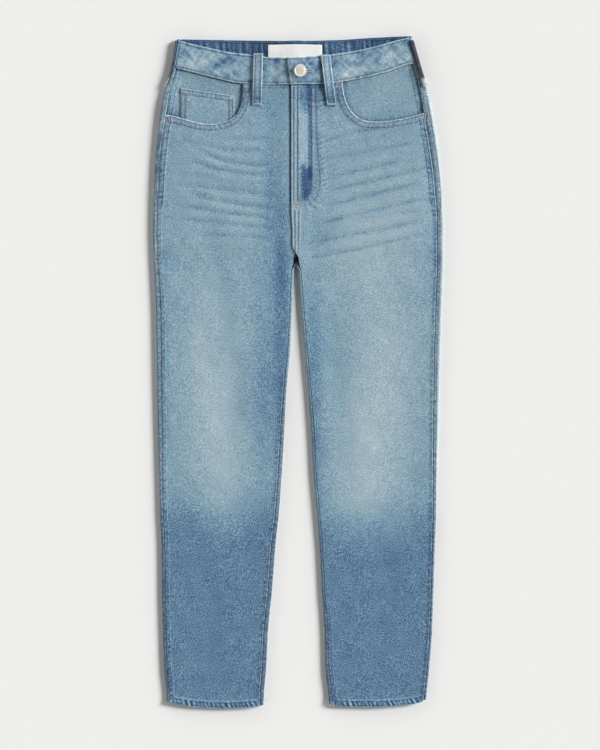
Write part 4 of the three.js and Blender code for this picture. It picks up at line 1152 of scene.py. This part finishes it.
for side in SIGN:
    depth = mix(0.4, FACING_DEPTH, stations(75, 1.8))[:, None]
    outer_x = front_spot(side, depth, 1.0)[0]
    x = mix(FACING_INNER[side], outer_x, stations(120, 1.8)[None, :])
    y = front_row_y(x, depth)
    # Outside the mouth the facing rises to the waistband and the side seam, where it is sewn in.
    clear = smooth(SIGN[side] * (x - FACING_LIP["clear"][side]) / 5)
    open_side = smooth((y - MOUTH_END_Y[side] - 5) / FACING_LIP["reach"])
    lip = np.maximum(clear * smooth(1 - depth / FACING_LIP["reach"]),
        open_side * smooth(1 - np.abs(outer_x - x) / FACING_LIP["reach"]))
    z = front_rest(side, x, y) - FACING_DROP + FACING_LIP["rise"] * lip
    ripple = 0.12 * unevenness(x * 1.6, y * 1.6)
    facing = cloth("pocket_facing_" + side + "_cloth", grid(x, y, z + np.minimum(ripple, 0.12)),
        grid(x, y, z - FACING), 0.5)
    rims = [seam_line(side, 460, MOUTH_END_Y[side])]
    ridges = [rims[0], seam_line(side, 460, MOUTH_END_Y[side], 9.2)]
    paint(
        facing, wash=lambda x, y: facing_wash(side, x, y),
        seam=lambda x, y: closest(rims, x, y) * 1.1, ridge=ridges,
    )
    lay(facing, FACING_DENIM, "pocket_facing_" + side)

u, v = stations(80, 2.0)[None, :], stations(48, 2.0)[:, None]
x = mix(COIN["left"], COIN["right"], u)
top, bottom = mix(COIN["top_left"], COIN["top_right"], u), mix(COIN["bottom_left"], COIN["bottom_right"], u)
y = mix(top, bottom, v)
z = front_rest("right", x, y) - SEAM_GAP - COIN["wall"]
hem = 0.18 * (1 - smooth((v * 48 - 9) / 2)) * (1 + 0.6 * wobble(x, 5.6))
coin = cloth("coin_pocket_cloth", grid(x, y, z + COIN["wall"] + np.minimum(hem, 0.28)),
    grid(x, y, z), 0.7)
coin_corners = [np.array((COIN[end], COIN[row + "_" + end])) for row, end in (
    ("bottom", "left"), ("top", "left"), ("top", "right"), ("bottom", "right"))]
coin_edges = [np.array([coin_corners[i], coin_corners[j]]) for i, j in ((1, 2), (1, 0), (2, 3))]


def coin_hem(x, y):
    """The doubled hem along the top of the coin pocket, from 0 outside it to 1 in its middle."""
    return np.exp(-(((near(coin_edges[0], x, y)[0] - 5) / 4) ** 4))


coin_ridges = [*coin_edges, beside(coin_edges[0], -10.0)]
paint(
    coin, wash=lambda x, y: COIN_TONE + 0.22 * wobble(x, 5.6) * coin_hem(x, y),
    seam=lambda x, y: closest(coin_edges, x, y) * 1.1, ridge=coin_ridges,
    lilac=lambda x, y: 0.6 * smooth((9.5 - closest(coin_edges, x, y)) / 2),
)
lay(coin, FACING_DENIM, "coin_pocket")


def pocket_outline(side, inset):
    """The five corners of a back pocket, moved in by an inset."""
    p, middle = BACK_POCKET, (BACK_POCKET["inner"] + BACK_POCKET["outer"]) / 2
    corners = [(p["inner"], 0), (p["outer"], 0), (p["outer"] - p["taper"], p["side"]),
        (middle, p["point"]), (p["inner"] + p["taper"], p["side"])]
    made = []
    for away, below in corners:
        x = CENTRE_X + SIGN[side] * (away + inset * np.sign(middle - away))
        y = float(yoke_seam_y(x)) - p["drop"] - below - (inset if below == 0 else -inset)
        made.append((x, y))
    return np.array([*made, made[0]])


for side in SIGN:
    p = BACK_POCKET
    u, v = stations(128, 3.0)[None, :], stations(145, 3.0)[:, None]
    taper = p["taper"] * v
    away = mix(p["inner"] + taper, p["outer"] - taper, u)
    x = CENTRE_X + SIGN[side] * away
    low = mix(p["side"], p["point"], 1 - np.abs(2 * u - 1))
    y = yoke_seam_y(x) - p["drop"] - low * v
    relief = 0.12 * (1 + unevenness(x * 1.3, y * 1.3)) * smooth(8 * v) * smooth(8 * u) * smooth(8 * (1 - u))
    pocket = cloth("back_pocket_" + side + "_cloth", grid(x, y, p["wall"] + 0 * y),
        grid(x, y, np.maximum(relief, 0)), 0.6)
    edges = [pocket_outline(side, 0)]
    paint(pocket, wash=lambda x, y: back_wash(side, x, y) + 0.02, seam=edges, ridge=edges)
    lay(pocket, BACK_DENIM, "back_pocket_" + side)


# Belt loops: narrow strips of denim folded in three and sewn with two rows, tacked at both ends
# over the waistband. Two show in front, two lie round the side folds and one is at the back.
LOOP = 1.6
LOOP_WIDTH = 14
LOOP_ARCH = 1.2
FRONT_LOOPS = {
    "right": dict(top_x=-59.6, top_y=477, bottom_x=-61.6, bottom_y=399),
    "left": dict(top_x=41, top_y=475, bottom_x=50.4, bottom_y=399),
}
SIDE_LOOP = dict(top=497, bottom=427, start=0.34, over=0.8, clearance=0.6)
SIDE_LOOP_END, SIDE_LOOP_SHADE_TONE = {"right": 0.64, "left": 1.0}, {"right": 0.32, "left": 0.08}
# At the sides the loops are painted a brownish dark: painted shade of the loop standing off the fold.
SIDE_LOOP_SHADED_STOPS = ((0.0, "#2a2b36"), (0.3, "#474b5c"), (0.6, "#8b949f"), (1.0, "#c3c9cb"))
SIDE_LOOP_SHADED_DENIM = denim("stonewashed_twill_denim_side_loops_painted_shade", cloud=0.2, slub=0.2, grain=0.6, seam=0.2,
    stops=SIDE_LOOP_SHADED_STOPS)
LOOP_DENIM = denim("stonewashed_twill_denim_loops", cloud=0.2, slub=0.3, grain=0.9, seam=0.55)


def under_loop(side, x, y):
    """Top of whatever lies under a front belt loop."""
    seam_y = along(FRONT_SEAM, "x", x, "y")
    panel = front_under(side, x, np.minimum(y, seam_y)) + DENIM
    return mix(panel, np.maximum(band_under(side, x) + BAND, panel), smooth((y - seam_y + 12) / 9))


def loop_place(side, across, t):
    loop = FRONT_LOOPS[side]
    x = mix(loop["top_x"], loop["bottom_x"], t) + LOOP_WIDTH * (across - 0.5)
    return x, mix(loop["top_y"], loop["bottom_y"], t) + 0 * x


def loop_top(side, x, y, t):
    rest = np.maximum.reduce([under_loop(side, x + dx, y) for dx in (-3, 0, 3)])
    return rest + SEAM_GAP + 0.25 + LOOP_ARCH * np.sin(np.pi * t) + LOOP


for side in SIGN:
    across, t = stations(LOOP_WIDTH, 0.9)[None, :], stations(78, 1.2)[:, None]
    x, y = loop_place(side, across, t)
    z = loop_top(side, x, y, t)
    edge = LOOP_WIDTH * np.minimum(across, 1 - across)
    ridge = 0.3 * bell(edge, 0.9, 0.9) - 0.25 * bell(edge, 2.6, 0.7)
    ridge = ridge + 0.12 * wobble(y, 6.1) * bell(edge, 0, 4)
    fold = 0.5 * bell((1 - t) * 78, 2, 2.2) + 0.4 * bell(t * 78, 1.5, 2)
    loop = cloth("belt_loop_" + side, grid(x, y, z + ridge + fold), grid(x, y, z - LOOP), 0.8)
    rims = [np.stack(loop_place(side, a, np.linspace(0, 1, 12)), 1) for a in (0.0, 1.0)]
    rims += [np.stack(loop_place(side, np.linspace(0, 1, 5), np.full(5, t)), 1) for t in (1.0, 0.0)]
    paint(
        loop, wash=lambda x, y: 0.56 + 0.10 * bell(y, 452, 18) - 0.26 * bell(y, 408, 7)
        - 0.10 * bell(y, 422, 9) + 0.06 * wobble(y, 6.1),
        seam=lambda x, y: closest(rims[:2], x, y) * 0.74, ridge=lambda x, y: closest(rims, x, y) * 0.7,
        lilac=lambda x, y: 0.5 * smooth((closest(rims[:2], x, y) - 2) / 2),
    )
    lay(loop, LOOP_DENIM, "belt_loop_front_" + side)

    sign, arc = SIGN[side], math.pi * BAND_FOLD_RADIUS
    y = mix(SIDE_LOOP["top"], SIDE_LOOP["bottom"], stations(70, 1.5))[:, None]
    last = SIDE_LOOP_END[side] * arc
    lengths = np.concatenate([np.linspace(SIDE_LOOP["start"] * arc, last, 14),
        last + SIDE_LOOP["over"] * np.array([0.3, 0.6, 0.85, 0.95, 1.0])])[None, :]
    base = outline(side, "outer", y) - sign * (BAND_FOLD_RADIUS + BAND / 2)
    out, high = curl_point(lengths, 1.0, BAND_FOLD_RADIUS, BAND_UNDER, BAND, 0, True)
    angle = np.minimum(math.pi, lengths / BAND_FOLD_RADIUS)
    faces = []
    for offset in (SIDE_LOOP["clearance"] + LOOP, SIDE_LOOP["clearance"]):
        x = base + sign * (out + offset * np.sin(angle))
        faces.append(grid(x, y, high - offset * np.cos(angle)))
    loop = cloth("belt_loop_side_fold_" + side, *faces, 0.7)
    # Above its lower end each side loop is painted dark as shade.
    paint(
        loop, seam=6.0, ridge=lambda x, y: np.abs(y - SIDE_LOOP["bottom"]),
        wash=lambda x, y: 0.05 * wobble(y, 7.0) + mix(0.62, SIDE_LOOP_SHADE_TONE[side], smooth((y - 438) / 4)),
    )
    lay(loop, SIDE_LOOP_SHADED_DENIM, "belt_loop_side_" + side)

across, t = stations(BACK_LOOP["width"], 1.2)[None, :], stations(56, 1.6)[:, None]
x = CENTRE_X + BACK_LOOP["width"] * (across - 0.5)
y = mix(BACK_LOOP["top"], BACK_LOOP["bottom"], t)
edge = BACK_LOOP["width"] * np.minimum(across, 1 - across)
groove = 0.25 * bell(edge, 2.6, 0.8)
loop = cloth("belt_loop_centre_back", grid(x, y, BACK_LOOP["wall"]),
    grid(x, y, groove), 0.6)
paint(loop, wash=0.55, seam=6.0, ridge=lambda x, y: np.abs(np.abs(x - CENTRE_X) - BACK_LOOP["width"] / 2))
lay(loop, LOOP_DENIM, "belt_loop_back")


# Sewing: spun polyester thread in faded grey lilac, in double rows beside the seams, and dense
# rose-grey bar tacks where a seam ends. Thread 0.45 mm thick is too fine to show from here, so it
# is drawn 0.75 mm thick.
STITCH = dict(length=2.7, gap=0.9, thick=0.75)


def walk(line, pitch):
    """Places a pitch apart along a line, and the headings there."""
    step = np.hypot(*np.diff(line, axis=0).T)
    run = np.concatenate([[0], np.cumsum(step)])
    at = np.arange(pitch / 2, run[-1], pitch)
    spot = np.stack([np.interp(at, run, line[:, 0]), np.interp(at, run, line[:, 1])], 1)
    ahead = np.stack([np.interp(at + 0.5, run, line[:, 0]), np.interp(at + 0.5, run, line[:, 1])], 1)
    behind = np.stack([np.interp(at - 0.5, run, line[:, 0]), np.interp(at - 0.5, run, line[:, 1])], 1)
    heading = ahead - behind
    return spot, heading / np.maximum(np.hypot(*heading.T), 1e-6)[:, None]


def stitches(spot, heading, surface, facing=1, length=STITCH["length"], thick=STITCH["thick"]):
    """Points and faces of one short bar of thread at each place, lying on a surface."""
    ring = [(math.cos(a), math.sin(a)) for a in np.radians([45, 135, 225, 315])]
    template = [(-0.5, 0, -0.35)]
    template += [(-0.32, c * 0.5, s * 0.5) for c, s in ring] + [(0.32, c * 0.5, s * 0.5) for c, s in ring]
    template.append((0.5, 0, -0.35))
    local = np.array(template) * (length, thick, thick * facing)
    ends = [surface(*(spot + heading * length * s).T) for s in (-0.35, 0.35)]
    slope = (ends[1] - ends[0]) / (0.7 * length)
    height = (ends[0] + ends[1]) / 2 + facing * thick * 0.22
    across = np.stack([-heading[:, 1], heading[:, 0]], 1)
    plan = spot[:, None] + heading[:, None] * local[None, :, :1] + across[:, None] * local[None, :, 1:2]
    z = height[:, None] + slope[:, None] * local[None, :, 0] + local[None, :, 2]
    points = np.concatenate([plan, z[..., None]], -1).reshape(-1, 3)
    quads = [(1 + i, 1 + (i + 1) % 4, 5 + (i + 1) % 4, 5 + i) for i in range(4)]
    caps = [(0, 1 + (i + 1) % 4, 1 + i) for i in range(4)] + [(9, 5 + i, 5 + (i + 1) % 4) for i in range(4)]
    faces = [f if facing > 0 else f[::-1] for f in quads + caps]
    return points, faces


def sew(name, rows, material, pitch=STITCH["length"] + STITCH["gap"], **size):
    """One object of rows of sewing. Each entry is some lines, the surface under them, their facing."""
    points, faces, count = [], [], 0
    for line, surface, facing in [(line, *rest) for lines, *rest in rows for line in lines]:
        spot, heading = walk(line, pitch)
        made, shape = stitches(spot, heading, surface, facing, **size)
        points.append(made)
        for k in range(len(spot)):
            faces += [tuple(i + count + 10 * k for i in f) for f in shape]
        count += len(made)
    made = new_object(name, np.concatenate(points), faces)
    made.data.materials.append(material)
    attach(made, "root")


def thread(name, dark, pale):
    """Spun polyester thread: matt, slightly fuzzy, each stitch a little paler or darker."""

    def shade(tree):
        place = node(tree, "TexCoord").outputs["Object"]
        fuzz = node(tree, "TexNoise", inputs={
            "Vector": place, "Scale": 1 / 0.004, "Detail": 2}).outputs["Fac"]
        ramp = node(tree, "ValToRGB", inputs={"Fac": fuzz})
        set_stops(ramp.color_ramp, [(0.35, colour(dark)), (0.65, colour(pale))])
        return {"Base Color": ramp.outputs["Color"], "Roughness": 0.7, "Specular IOR Level": 0.3,
            "Sheen Weight": 0.2}

    return new_material(name, shade)


def on_front(side):
    return lambda x, y: front_under(side, x, y) + DENIM + front_relief(side, x, y)


def on_band(side):
    return lambda x, y: band_height(side, x, y, share_of_band(BAND_FRONT, x, y))


def on_inside(x, y):
    return lift(x, y) + BAND + 0.1


def on_coin(x, y):
    return front_rest("right", x, y) - SEAM_GAP + 0.1


def on_facing(side):
    return lambda x, y: front_rest(side, x, y) - FACING_DROP + 0.05


def on_back(x, y):
    return lift(x, y) + back_creases(x, y)


LILAC_THREAD = thread("spun_polyester_thread_lilac_grey", "#4d546c", "#83889a")
PALE_THREAD = thread("spun_polyester_thread_faded", "#8f99a6", "#ccd3d4")
ROSE_THREAD = thread("spun_polyester_thread_rose_grey", "#97888c", "#c2b5b2")



def straight(*ends):
    """Straight lines in the plan, each from its two ends."""
    return [np.array([(x0, y0), (x1, y1)], float) for x0, y0, x1, y1 in ends]


rows = []
for side in SIGN:
    low = MOUTH_END_Y[side] - 3
    rows.append(([
        *[beside(MOUTH[side][8:-4], -SIGN[side] * away) for away in (2.4, 9.4)],
        seam_line(side, low, ROWS_END_Y, 2.1, 1.7), seam_line(side, low, 250, 8.4), hem_line(side, 8.6),
        inseam_line(side, INSEAM_ROWS_Y[side], ROWS_END_Y, 1.8),
    ], on_front(side), 1))
rows.append(([*FLY_CURVE.values(), *straight(
    (-6.2, 426, -6.2, 256), (-0.2, 426, -0.2, 256), (-4.8, 243, -4.4, 172), (0.8, 243, 0.4, 178),
)], on_front("left"), 1))
sew("topstitching_front", rows, LILAC_THREAD)

rows = []
for side in SIGN:
    ends = band_ends(side, np.array([0.5]))
    run = np.linspace(float(ends[0][0]) + SIGN[side] * 3, float(ends[1][0]) - SIGN[side] * 1.5, 50)
    rows.append(([band_row(BAND_FRONT, run, share) for share in (0.085, 0.93)], on_band(side), 1))
ends = np.array([0.1, 0.92])
tab = band_row(BAND_FRONT, band_ends("left", ends)[0], ends) + (4, 0)
run = np.linspace(-178, 168, 80)
rows += [
    ([tab], on_band("left"), 1), ([band_row(BAND_BACK, run, 0.93)], on_inside, 1),
    ([band_row(BAND_BACK, run, share) for share in (0.07, 0.93)], lambda x, y: lift(x, y) + 0.12, -1),
]
sew("topstitching_waistband", rows, LILAC_THREAD)

left, right = COIN["left"], COIN["right"]
rows = [(straight(*[
    (left + 3, COIN["top_left"] - 0.4 - away, right - 3, COIN["top_right"] + 0.4 - away)
    for away in (2.0, 9.0)
]), on_coin, 1)]
for away in (2.0, 7.0):
    rows.append((straight((left + away, 423, left + away, 380), (right - away, 411, right - away, 379)),
        on_coin, 1))
for side in SIGN:
    rows.append(([
        seam_line(side, FRONT_SEAM_LEVEL + above, MOUTH_END_Y[side] + 3, away)
        for above, away in ((20, 2.0), (16, 8.5))
    ], on_facing(side), 1))
sew("topstitching_pockets", rows, LILAC_THREAD)

LOOP_ROW = 3.1 / LOOP_WIDTH
rows = []
for side, loop in FRONT_LOOPS.items():
    def on_loop(x, y, side=side, top=loop["top_y"], bottom=loop["bottom_y"]):
        return loop_top(side, x, y, (top - y) / (top - bottom)) - 0.1

    rows.append(([
        np.stack(loop_place(side, across, np.linspace(0.04, 0.93, 14)), 1)
        for across in (LOOP_ROW, 1 - LOOP_ROW)
    ], on_loop, 1))
sew("topstitching_loops", rows, LILAC_THREAD)

rows = []
for side in SIGN:
    x = CENTRE_X + SIGN[side] * np.linspace(2, 200, 30)
    rows += [
        ([np.stack([x, yoke_seam_y(x) - away], 1) for away in (2.0, 8.0)], on_back, -1),
        ([pocket_outline(side, inset)[1:] for inset in (2.0, 5.0)], lambda x, y: 0.0 * x + 0.1, -1),
        ([pocket_outline(side, 3.0)[:2] - (0, 6)], lambda x, y: 0.0 * x + 0.15, -1),
        ([hem_line(side, 9.2)[2:-2]], on_back, -1),
    ]
rows.append((straight(*[(x, 430, x, 180) for x in (CENTRE_X - 4, CENTRE_X + 2)]), on_back, -1))
sew("topstitching_back", rows, LILAC_THREAD)


# Bar tacks: a dense zigzag of thread over two long stitches, at each point that takes strain.
TACKS = table(
    "x y heading length width side",
    (-193.5, 378.5, 97, 9, 2.4, "right"), (-189.5, 378, 97, 9, 2.4, "right"),
    (194.5, 383, 84, 9, 2.4, "left"), (190.5, 382.5, 84, 9, 2.4, "left"),
    (-2, 251.5, 0, 14, 2.2, "left"), (-2, 247.2, 0, 14, 2.2, "left"),
)
PALE_TACKS = table(
    "x y heading length width side",
    (-76.5, 427, 0, 9, 2.2, "right"), (61, 427, 0, 9, 2.2, "left"), (-171, 420, 0, 8, 5.5, "coin"),
    (-99.5, 411, 0, 5, 4.0, "coin"),
)
TACK_PITCH = 0.75


def tack_rows(x, y, heading, length, width):
    """Short lines side by side across the length of a bar tack."""
    a = math.radians(heading)
    way, cross = np.array([math.cos(a), math.sin(a)]), np.array([-math.sin(a), math.cos(a)])
    return [
        np.array([spot - cross * width / 2, spot + cross * width / 2])
        for spot in np.array([x, y]) + np.arange(-length / 2, length / 2, TACK_PITCH)[:, None] * way
    ]


for name, tacks, material in (
    ("bar_tacks_rose", TACKS, ROSE_THREAD), ("bar_tacks_pale", PALE_TACKS, PALE_THREAD),
):
    sew(name, [
        (tack_rows(x, y, heading, length, width), on_coin if side == "coin" else on_front(side), 1)
        for x, y, heading, length, width, side in zip(*tacks.values())
    ], material, pitch=2.3, length=2.3, thick=0.7)

rows = []
for side in SIGN:
    for at in (0.022, 0.972):
        rows.append((tack_rows(*loop_place(side, 0.5, at), 0, LOOP_WIDTH - 3, 2.6),
            lambda x, y, side=side, at=at: loop_top(side, x, y, np.full_like(x, at)) + 0.42, 1))
sew("bar_tacks_loops", rows, PALE_THREAD, pitch=2.6, length=2.6, thick=0.7)


# Label: a blank ribbon of white polyester satin, sewn to the inside of the back waistband by its
# folded ends. It is smooth and faintly ribbed, and a little warmer than the thread.
LABEL = 1.0
LABEL_PLACE = dict(left=-45, right=36, top=490, bottom=467, clearance=0.55)
u, v = stations(81, 2.0)[None, :], stations(23, 1.5)[:, None]
x = mix(LABEL_PLACE["left"], LABEL_PLACE["right"], u)
y = mix(LABEL_PLACE["top"], LABEL_PLACE["bottom"], v) + 0.8 * np.sin(np.pi * u)
# It spans the belt loop under the band in one smooth arch.
arch = (BACK_LOOP["wall"] + SEAM_GAP) * bell(x, CENTRE_X, 26)
z = BAND + LABEL_PLACE["clearance"] + arch
puff = 0.15 * np.sin(np.pi * u) + 0.05 * np.sin(x / 7.0) * np.sin(np.pi * v)
label = cloth("woven_label_blank", grid(x, y, z + LABEL + puff), grid(x, y, z), 0.5)


def satin(tree):
    """Polyester satin ribbon: white, with a soft lustre and fine ribs across its length."""
    place = node(tree, "TexCoord").outputs["Object"]
    rib = node(tree, "TexWave", {"bands_direction": "Y"},
        {"Vector": place, "Scale": WAVE_TURN / 0.0012, "Distortion": 0.3}).outputs["Fac"]
    cloud = node(tree, "TexNoise", inputs={"Vector": place, "Scale": 1 / 0.012}).outputs["Fac"]
    ramp = node(tree, "ValToRGB", inputs={"Fac": cloud})
    set_stops(ramp.color_ramp, [(0.3, colour("#e2e2df")), (0.7, colour("#eeeeeb"))])
    bump = node(tree, "Bump", inputs={"Height": rib, "Strength": 0.25, "Distance": 0.00015}).outputs[0]
    return {"Base Color": ramp.outputs["Color"], "Roughness": 0.45, "Specular IOR Level": 0.4,
        "Sheen Weight": 0.1, "Normal": bump}


lay(label, new_material("white_polyester_satin_ribbon", satin), "label")


# Fly shield and zip: a strip of denim and a cotton tape with a metal zip, closed, between the
# fronts. They are hidden while the fly is shut, and keep the shape that holds them flat.
def zip_metal(tree):
    """Brass zip on a cotton tape: dull yellow teeth, drawn as fine bars across the strip."""
    place = node(tree, "TexCoord").outputs["Object"]
    teeth = node(tree, "TexWave", {"bands_direction": "Y"},
        {"Vector": place, "Scale": WAVE_TURN / 0.002}).outputs["Fac"]
    ramp = node(tree, "ValToRGB", inputs={"Fac": teeth})
    set_stops(ramp.color_ramp, [(0.35, colour("#5a5040")), (0.65, colour("#b59f6c"))])
    return {"Base Color": ramp.outputs["Color"], "Roughness": 0.45, "Metallic": 0.8}


for name, material in (
    ("fly_shield", denim("stonewashed_twill_denim_shield")),
    ("zip", new_material("brass_zip_on_cotton_tape", zip_metal)),
):
    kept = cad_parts[name]
    kept.data.materials.clear()
    kept.data.materials.append(material)


# Button: a stamped brass cap, plated pale and tumbled, with a raised rim and a shallow dish, on
# a shank that goes through the buttonhole. The buttonhole is a keyhole worked in pale thread.
BUTTON = dict(x=3.5, y=451, radius=9.2, height=3.2, shank=2.2)
seat = float(band_under("left", BUTTON["x"])) + BAND + SEAM_GAP
bpy.ops.object.select_all(action="DESELECT")
bpy.ops.mesh.primitive_cylinder_add(vertices=64, radius=BUTTON["radius"] * MM, depth=BUTTON["height"] * MM,
    location=(BUTTON["x"] * MM, BUTTON["y"] * MM, (seat + BUTTON["height"] / 2) * MM))
button = bpy.context.object
button.name = "shank_button"
bpy.ops.object.transform_apply(location=True)


def pick(piece, wanted):
    """Selects the faces of a piece that a test picks, by centre and normal, in edit mode."""
    bpy.ops.object.mode_set(mode="OBJECT")
    for v in piece.data.vertices:
        v.select = False
    for e in piece.data.edges:
        e.select = False
    for f in piece.data.polygons:
        f.select = wanted(f.center / MM, f.normal)
    bpy.ops.object.mode_set(mode="EDIT")


top_z = seat + BUTTON["height"]
bpy.ops.object.mode_set(mode="EDIT")
bpy.ops.mesh.select_mode(type="FACE")
pick(button, lambda centre, normal: normal.z > 0.9 and centre.z > top_z - 0.1)
for inset, drop in ((1.5, 0.0), (0.4, -0.35), (0.5, 0.0), (0.4, 0.3), (2.8, 0.1), (1.6, 0.0)):
    bpy.ops.mesh.inset(thickness=inset * MM, depth=0)
    bpy.ops.transform.translate(value=(0, 0, drop * MM))
pick(button, lambda centre, normal: normal.z < -0.9)
bpy.ops.mesh.inset(thickness=(BUTTON["radius"] - BUTTON["shank"]) * MM, depth=0)
bpy.ops.mesh.extrude_region_move(TRANSFORM_OT_translate={"value": (0, 0, -3.4 * MM)})
bpy.ops.object.mode_set(mode="OBJECT")
rounded = button.modifiers.new("rounded", "BEVEL")
rounded.width, rounded.segments, rounded.limit_method = 0.35 * MM, 3, "ANGLE"
bpy.ops.object.modifier_apply(modifier=rounded.name)
button.data.shade_smooth()


def tumbled_plate(tree):
    """Plated brass, tumbled: pale silver-gold, dull in the hollows and brighter on the rim."""
    place = node(tree, "TexCoord").outputs["Object"]
    pits = node(tree, "TexNoise", inputs={
        "Vector": place, "Scale": 1 / 0.0016, "Detail": 3}).outputs["Fac"]
    hollow = node(tree, "NewGeometry").outputs["Pointiness"]
    dull = node(tree, "MapRange", inputs={"Value": hollow, "From Min": 0.44, "From Max": 0.55,
        "To Min": 0.0, "To Max": 1.0}).outputs[0]
    tone = node(tree, "Math", {"operation": "MULTIPLY_ADD"}, {0: pits, 1: 0.45, 2: dull}).outputs[0]
    ramp = node(tree, "ValToRGB", inputs={"Fac": tone})
    set_stops(ramp.color_ramp, [
        (0.35, colour("#8f8977")), (0.7, colour("#cdc9ba")), (1.0, colour("#ece9de"))])
    bump = node(tree, "Bump", inputs={"Height": pits, "Strength": 0.35, "Distance": 0.0001}).outputs[0]
    return {"Base Color": ramp.outputs["Color"], "Roughness": 0.55, "Metallic": 0.35, "Normal": bump}


button.data.materials.append(new_material("tumbled_silver_plated_brass", tumbled_plate))
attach(button, "root")
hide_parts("button")

rows = []
for line in straight(*[
    (BUTTON["x"] + 9.5, BUTTON["y"] + 1.5 * turn, BUTTON["x"] + 21.5, BUTTON["y"] + 1.1 * turn)
    for turn in (1, -1)
]):
    spot, heading = walk(line, 0.8)
    across = np.stack([-heading[:, 1], heading[:, 0]], 1)
    rows.append(([np.array([s - a * 1.2, s + a * 1.2]) for s, a in zip(spot, across)],
        on_band("left"), 1))
sew("buttonhole_edge", rows, PALE_THREAD, pitch=2.4, length=2.4, thick=0.7)


# Ground, light and camera: a plain pale floor, one broad even light low on the right under a
# bright sky of white walls, and a camera straight above, as far off as a long lens needs.
FLOOR = dict(half=6.0, z=-0.0002)
floor = new_object("floor", [
    (x * FLOOR["half"] / MM, y * FLOOR["half"] / MM, FLOOR["z"] / MM)
    for x, y in ((-1, -1), (1, -1), (1, 1), (-1, 1))], [(0, 1, 2, 3)])
floor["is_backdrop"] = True
floor.data.materials.append(new_material("matt_white_paper", lambda tree: {
    "Base Color": colour("#e8e8e6"), "Roughness": 0.95, "Specular IOR Level": 0.1}))


# Light from the right and a little from above: its heading in the plan, height and softness.
KEY = dict(heading=20, elevation=25, spread=18, strength=4.75)
data = bpy.data.lights.new("key", "SUN")
data.energy, data.angle = KEY["strength"], math.radians(KEY["spread"])
key = bpy.data.objects.new("key", data)
key.rotation_euler = (0, math.radians(90 - KEY["elevation"]), math.radians(KEY["heading"]))
bpy.context.scene.collection.objects.link(key)
# White walls all round under a dark ceiling: gaps between the legs stay dark.
WALLS = dict(bright=2.45, low=0.22, high=0.60)
world = bpy.data.worlds.new("studio")
bpy.context.scene.world = world
world.use_nodes = True
tree = world.node_tree
tree.nodes.clear()
place = node(tree, "TexCoord").outputs["Generated"]
up = node(tree, "SeparateXYZ", inputs={0: place}).outputs["Z"]
level = node(tree, "MapRange", {"interpolation_type": "SMOOTHSTEP"}, {
    "Value": up, "From Min": WALLS["low"], "From Max": WALLS["high"], "To Min": WALLS["bright"],
    "To Max": 0.0}).outputs[0]
sky = node(tree, "Background", inputs={"Strength": level, "Color": (1, 1, 1, 1)})
node(tree, "OutputWorld", inputs={"Surface": sky.outputs[0]})
bpy.context.scene.view_settings.view_transform = "Standard"

VIEW_HEIGHT = 1.125
VIEW_CENTRE = (0.003, -0.0045)
CAMERA_HEIGHT = 4.5
lens = bpy.data.cameras.new("camera")
lens.sensor_fit = "VERTICAL"
lens.lens = lens.sensor_height * CAMERA_HEIGHT / VIEW_HEIGHT
camera = bpy.data.objects.new("camera", lens)
camera.location = (*VIEW_CENTRE, CAMERA_HEIGHT)
bpy.context.scene.collection.objects.link(camera)
bpy.context.scene.camera = camera

low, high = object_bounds()
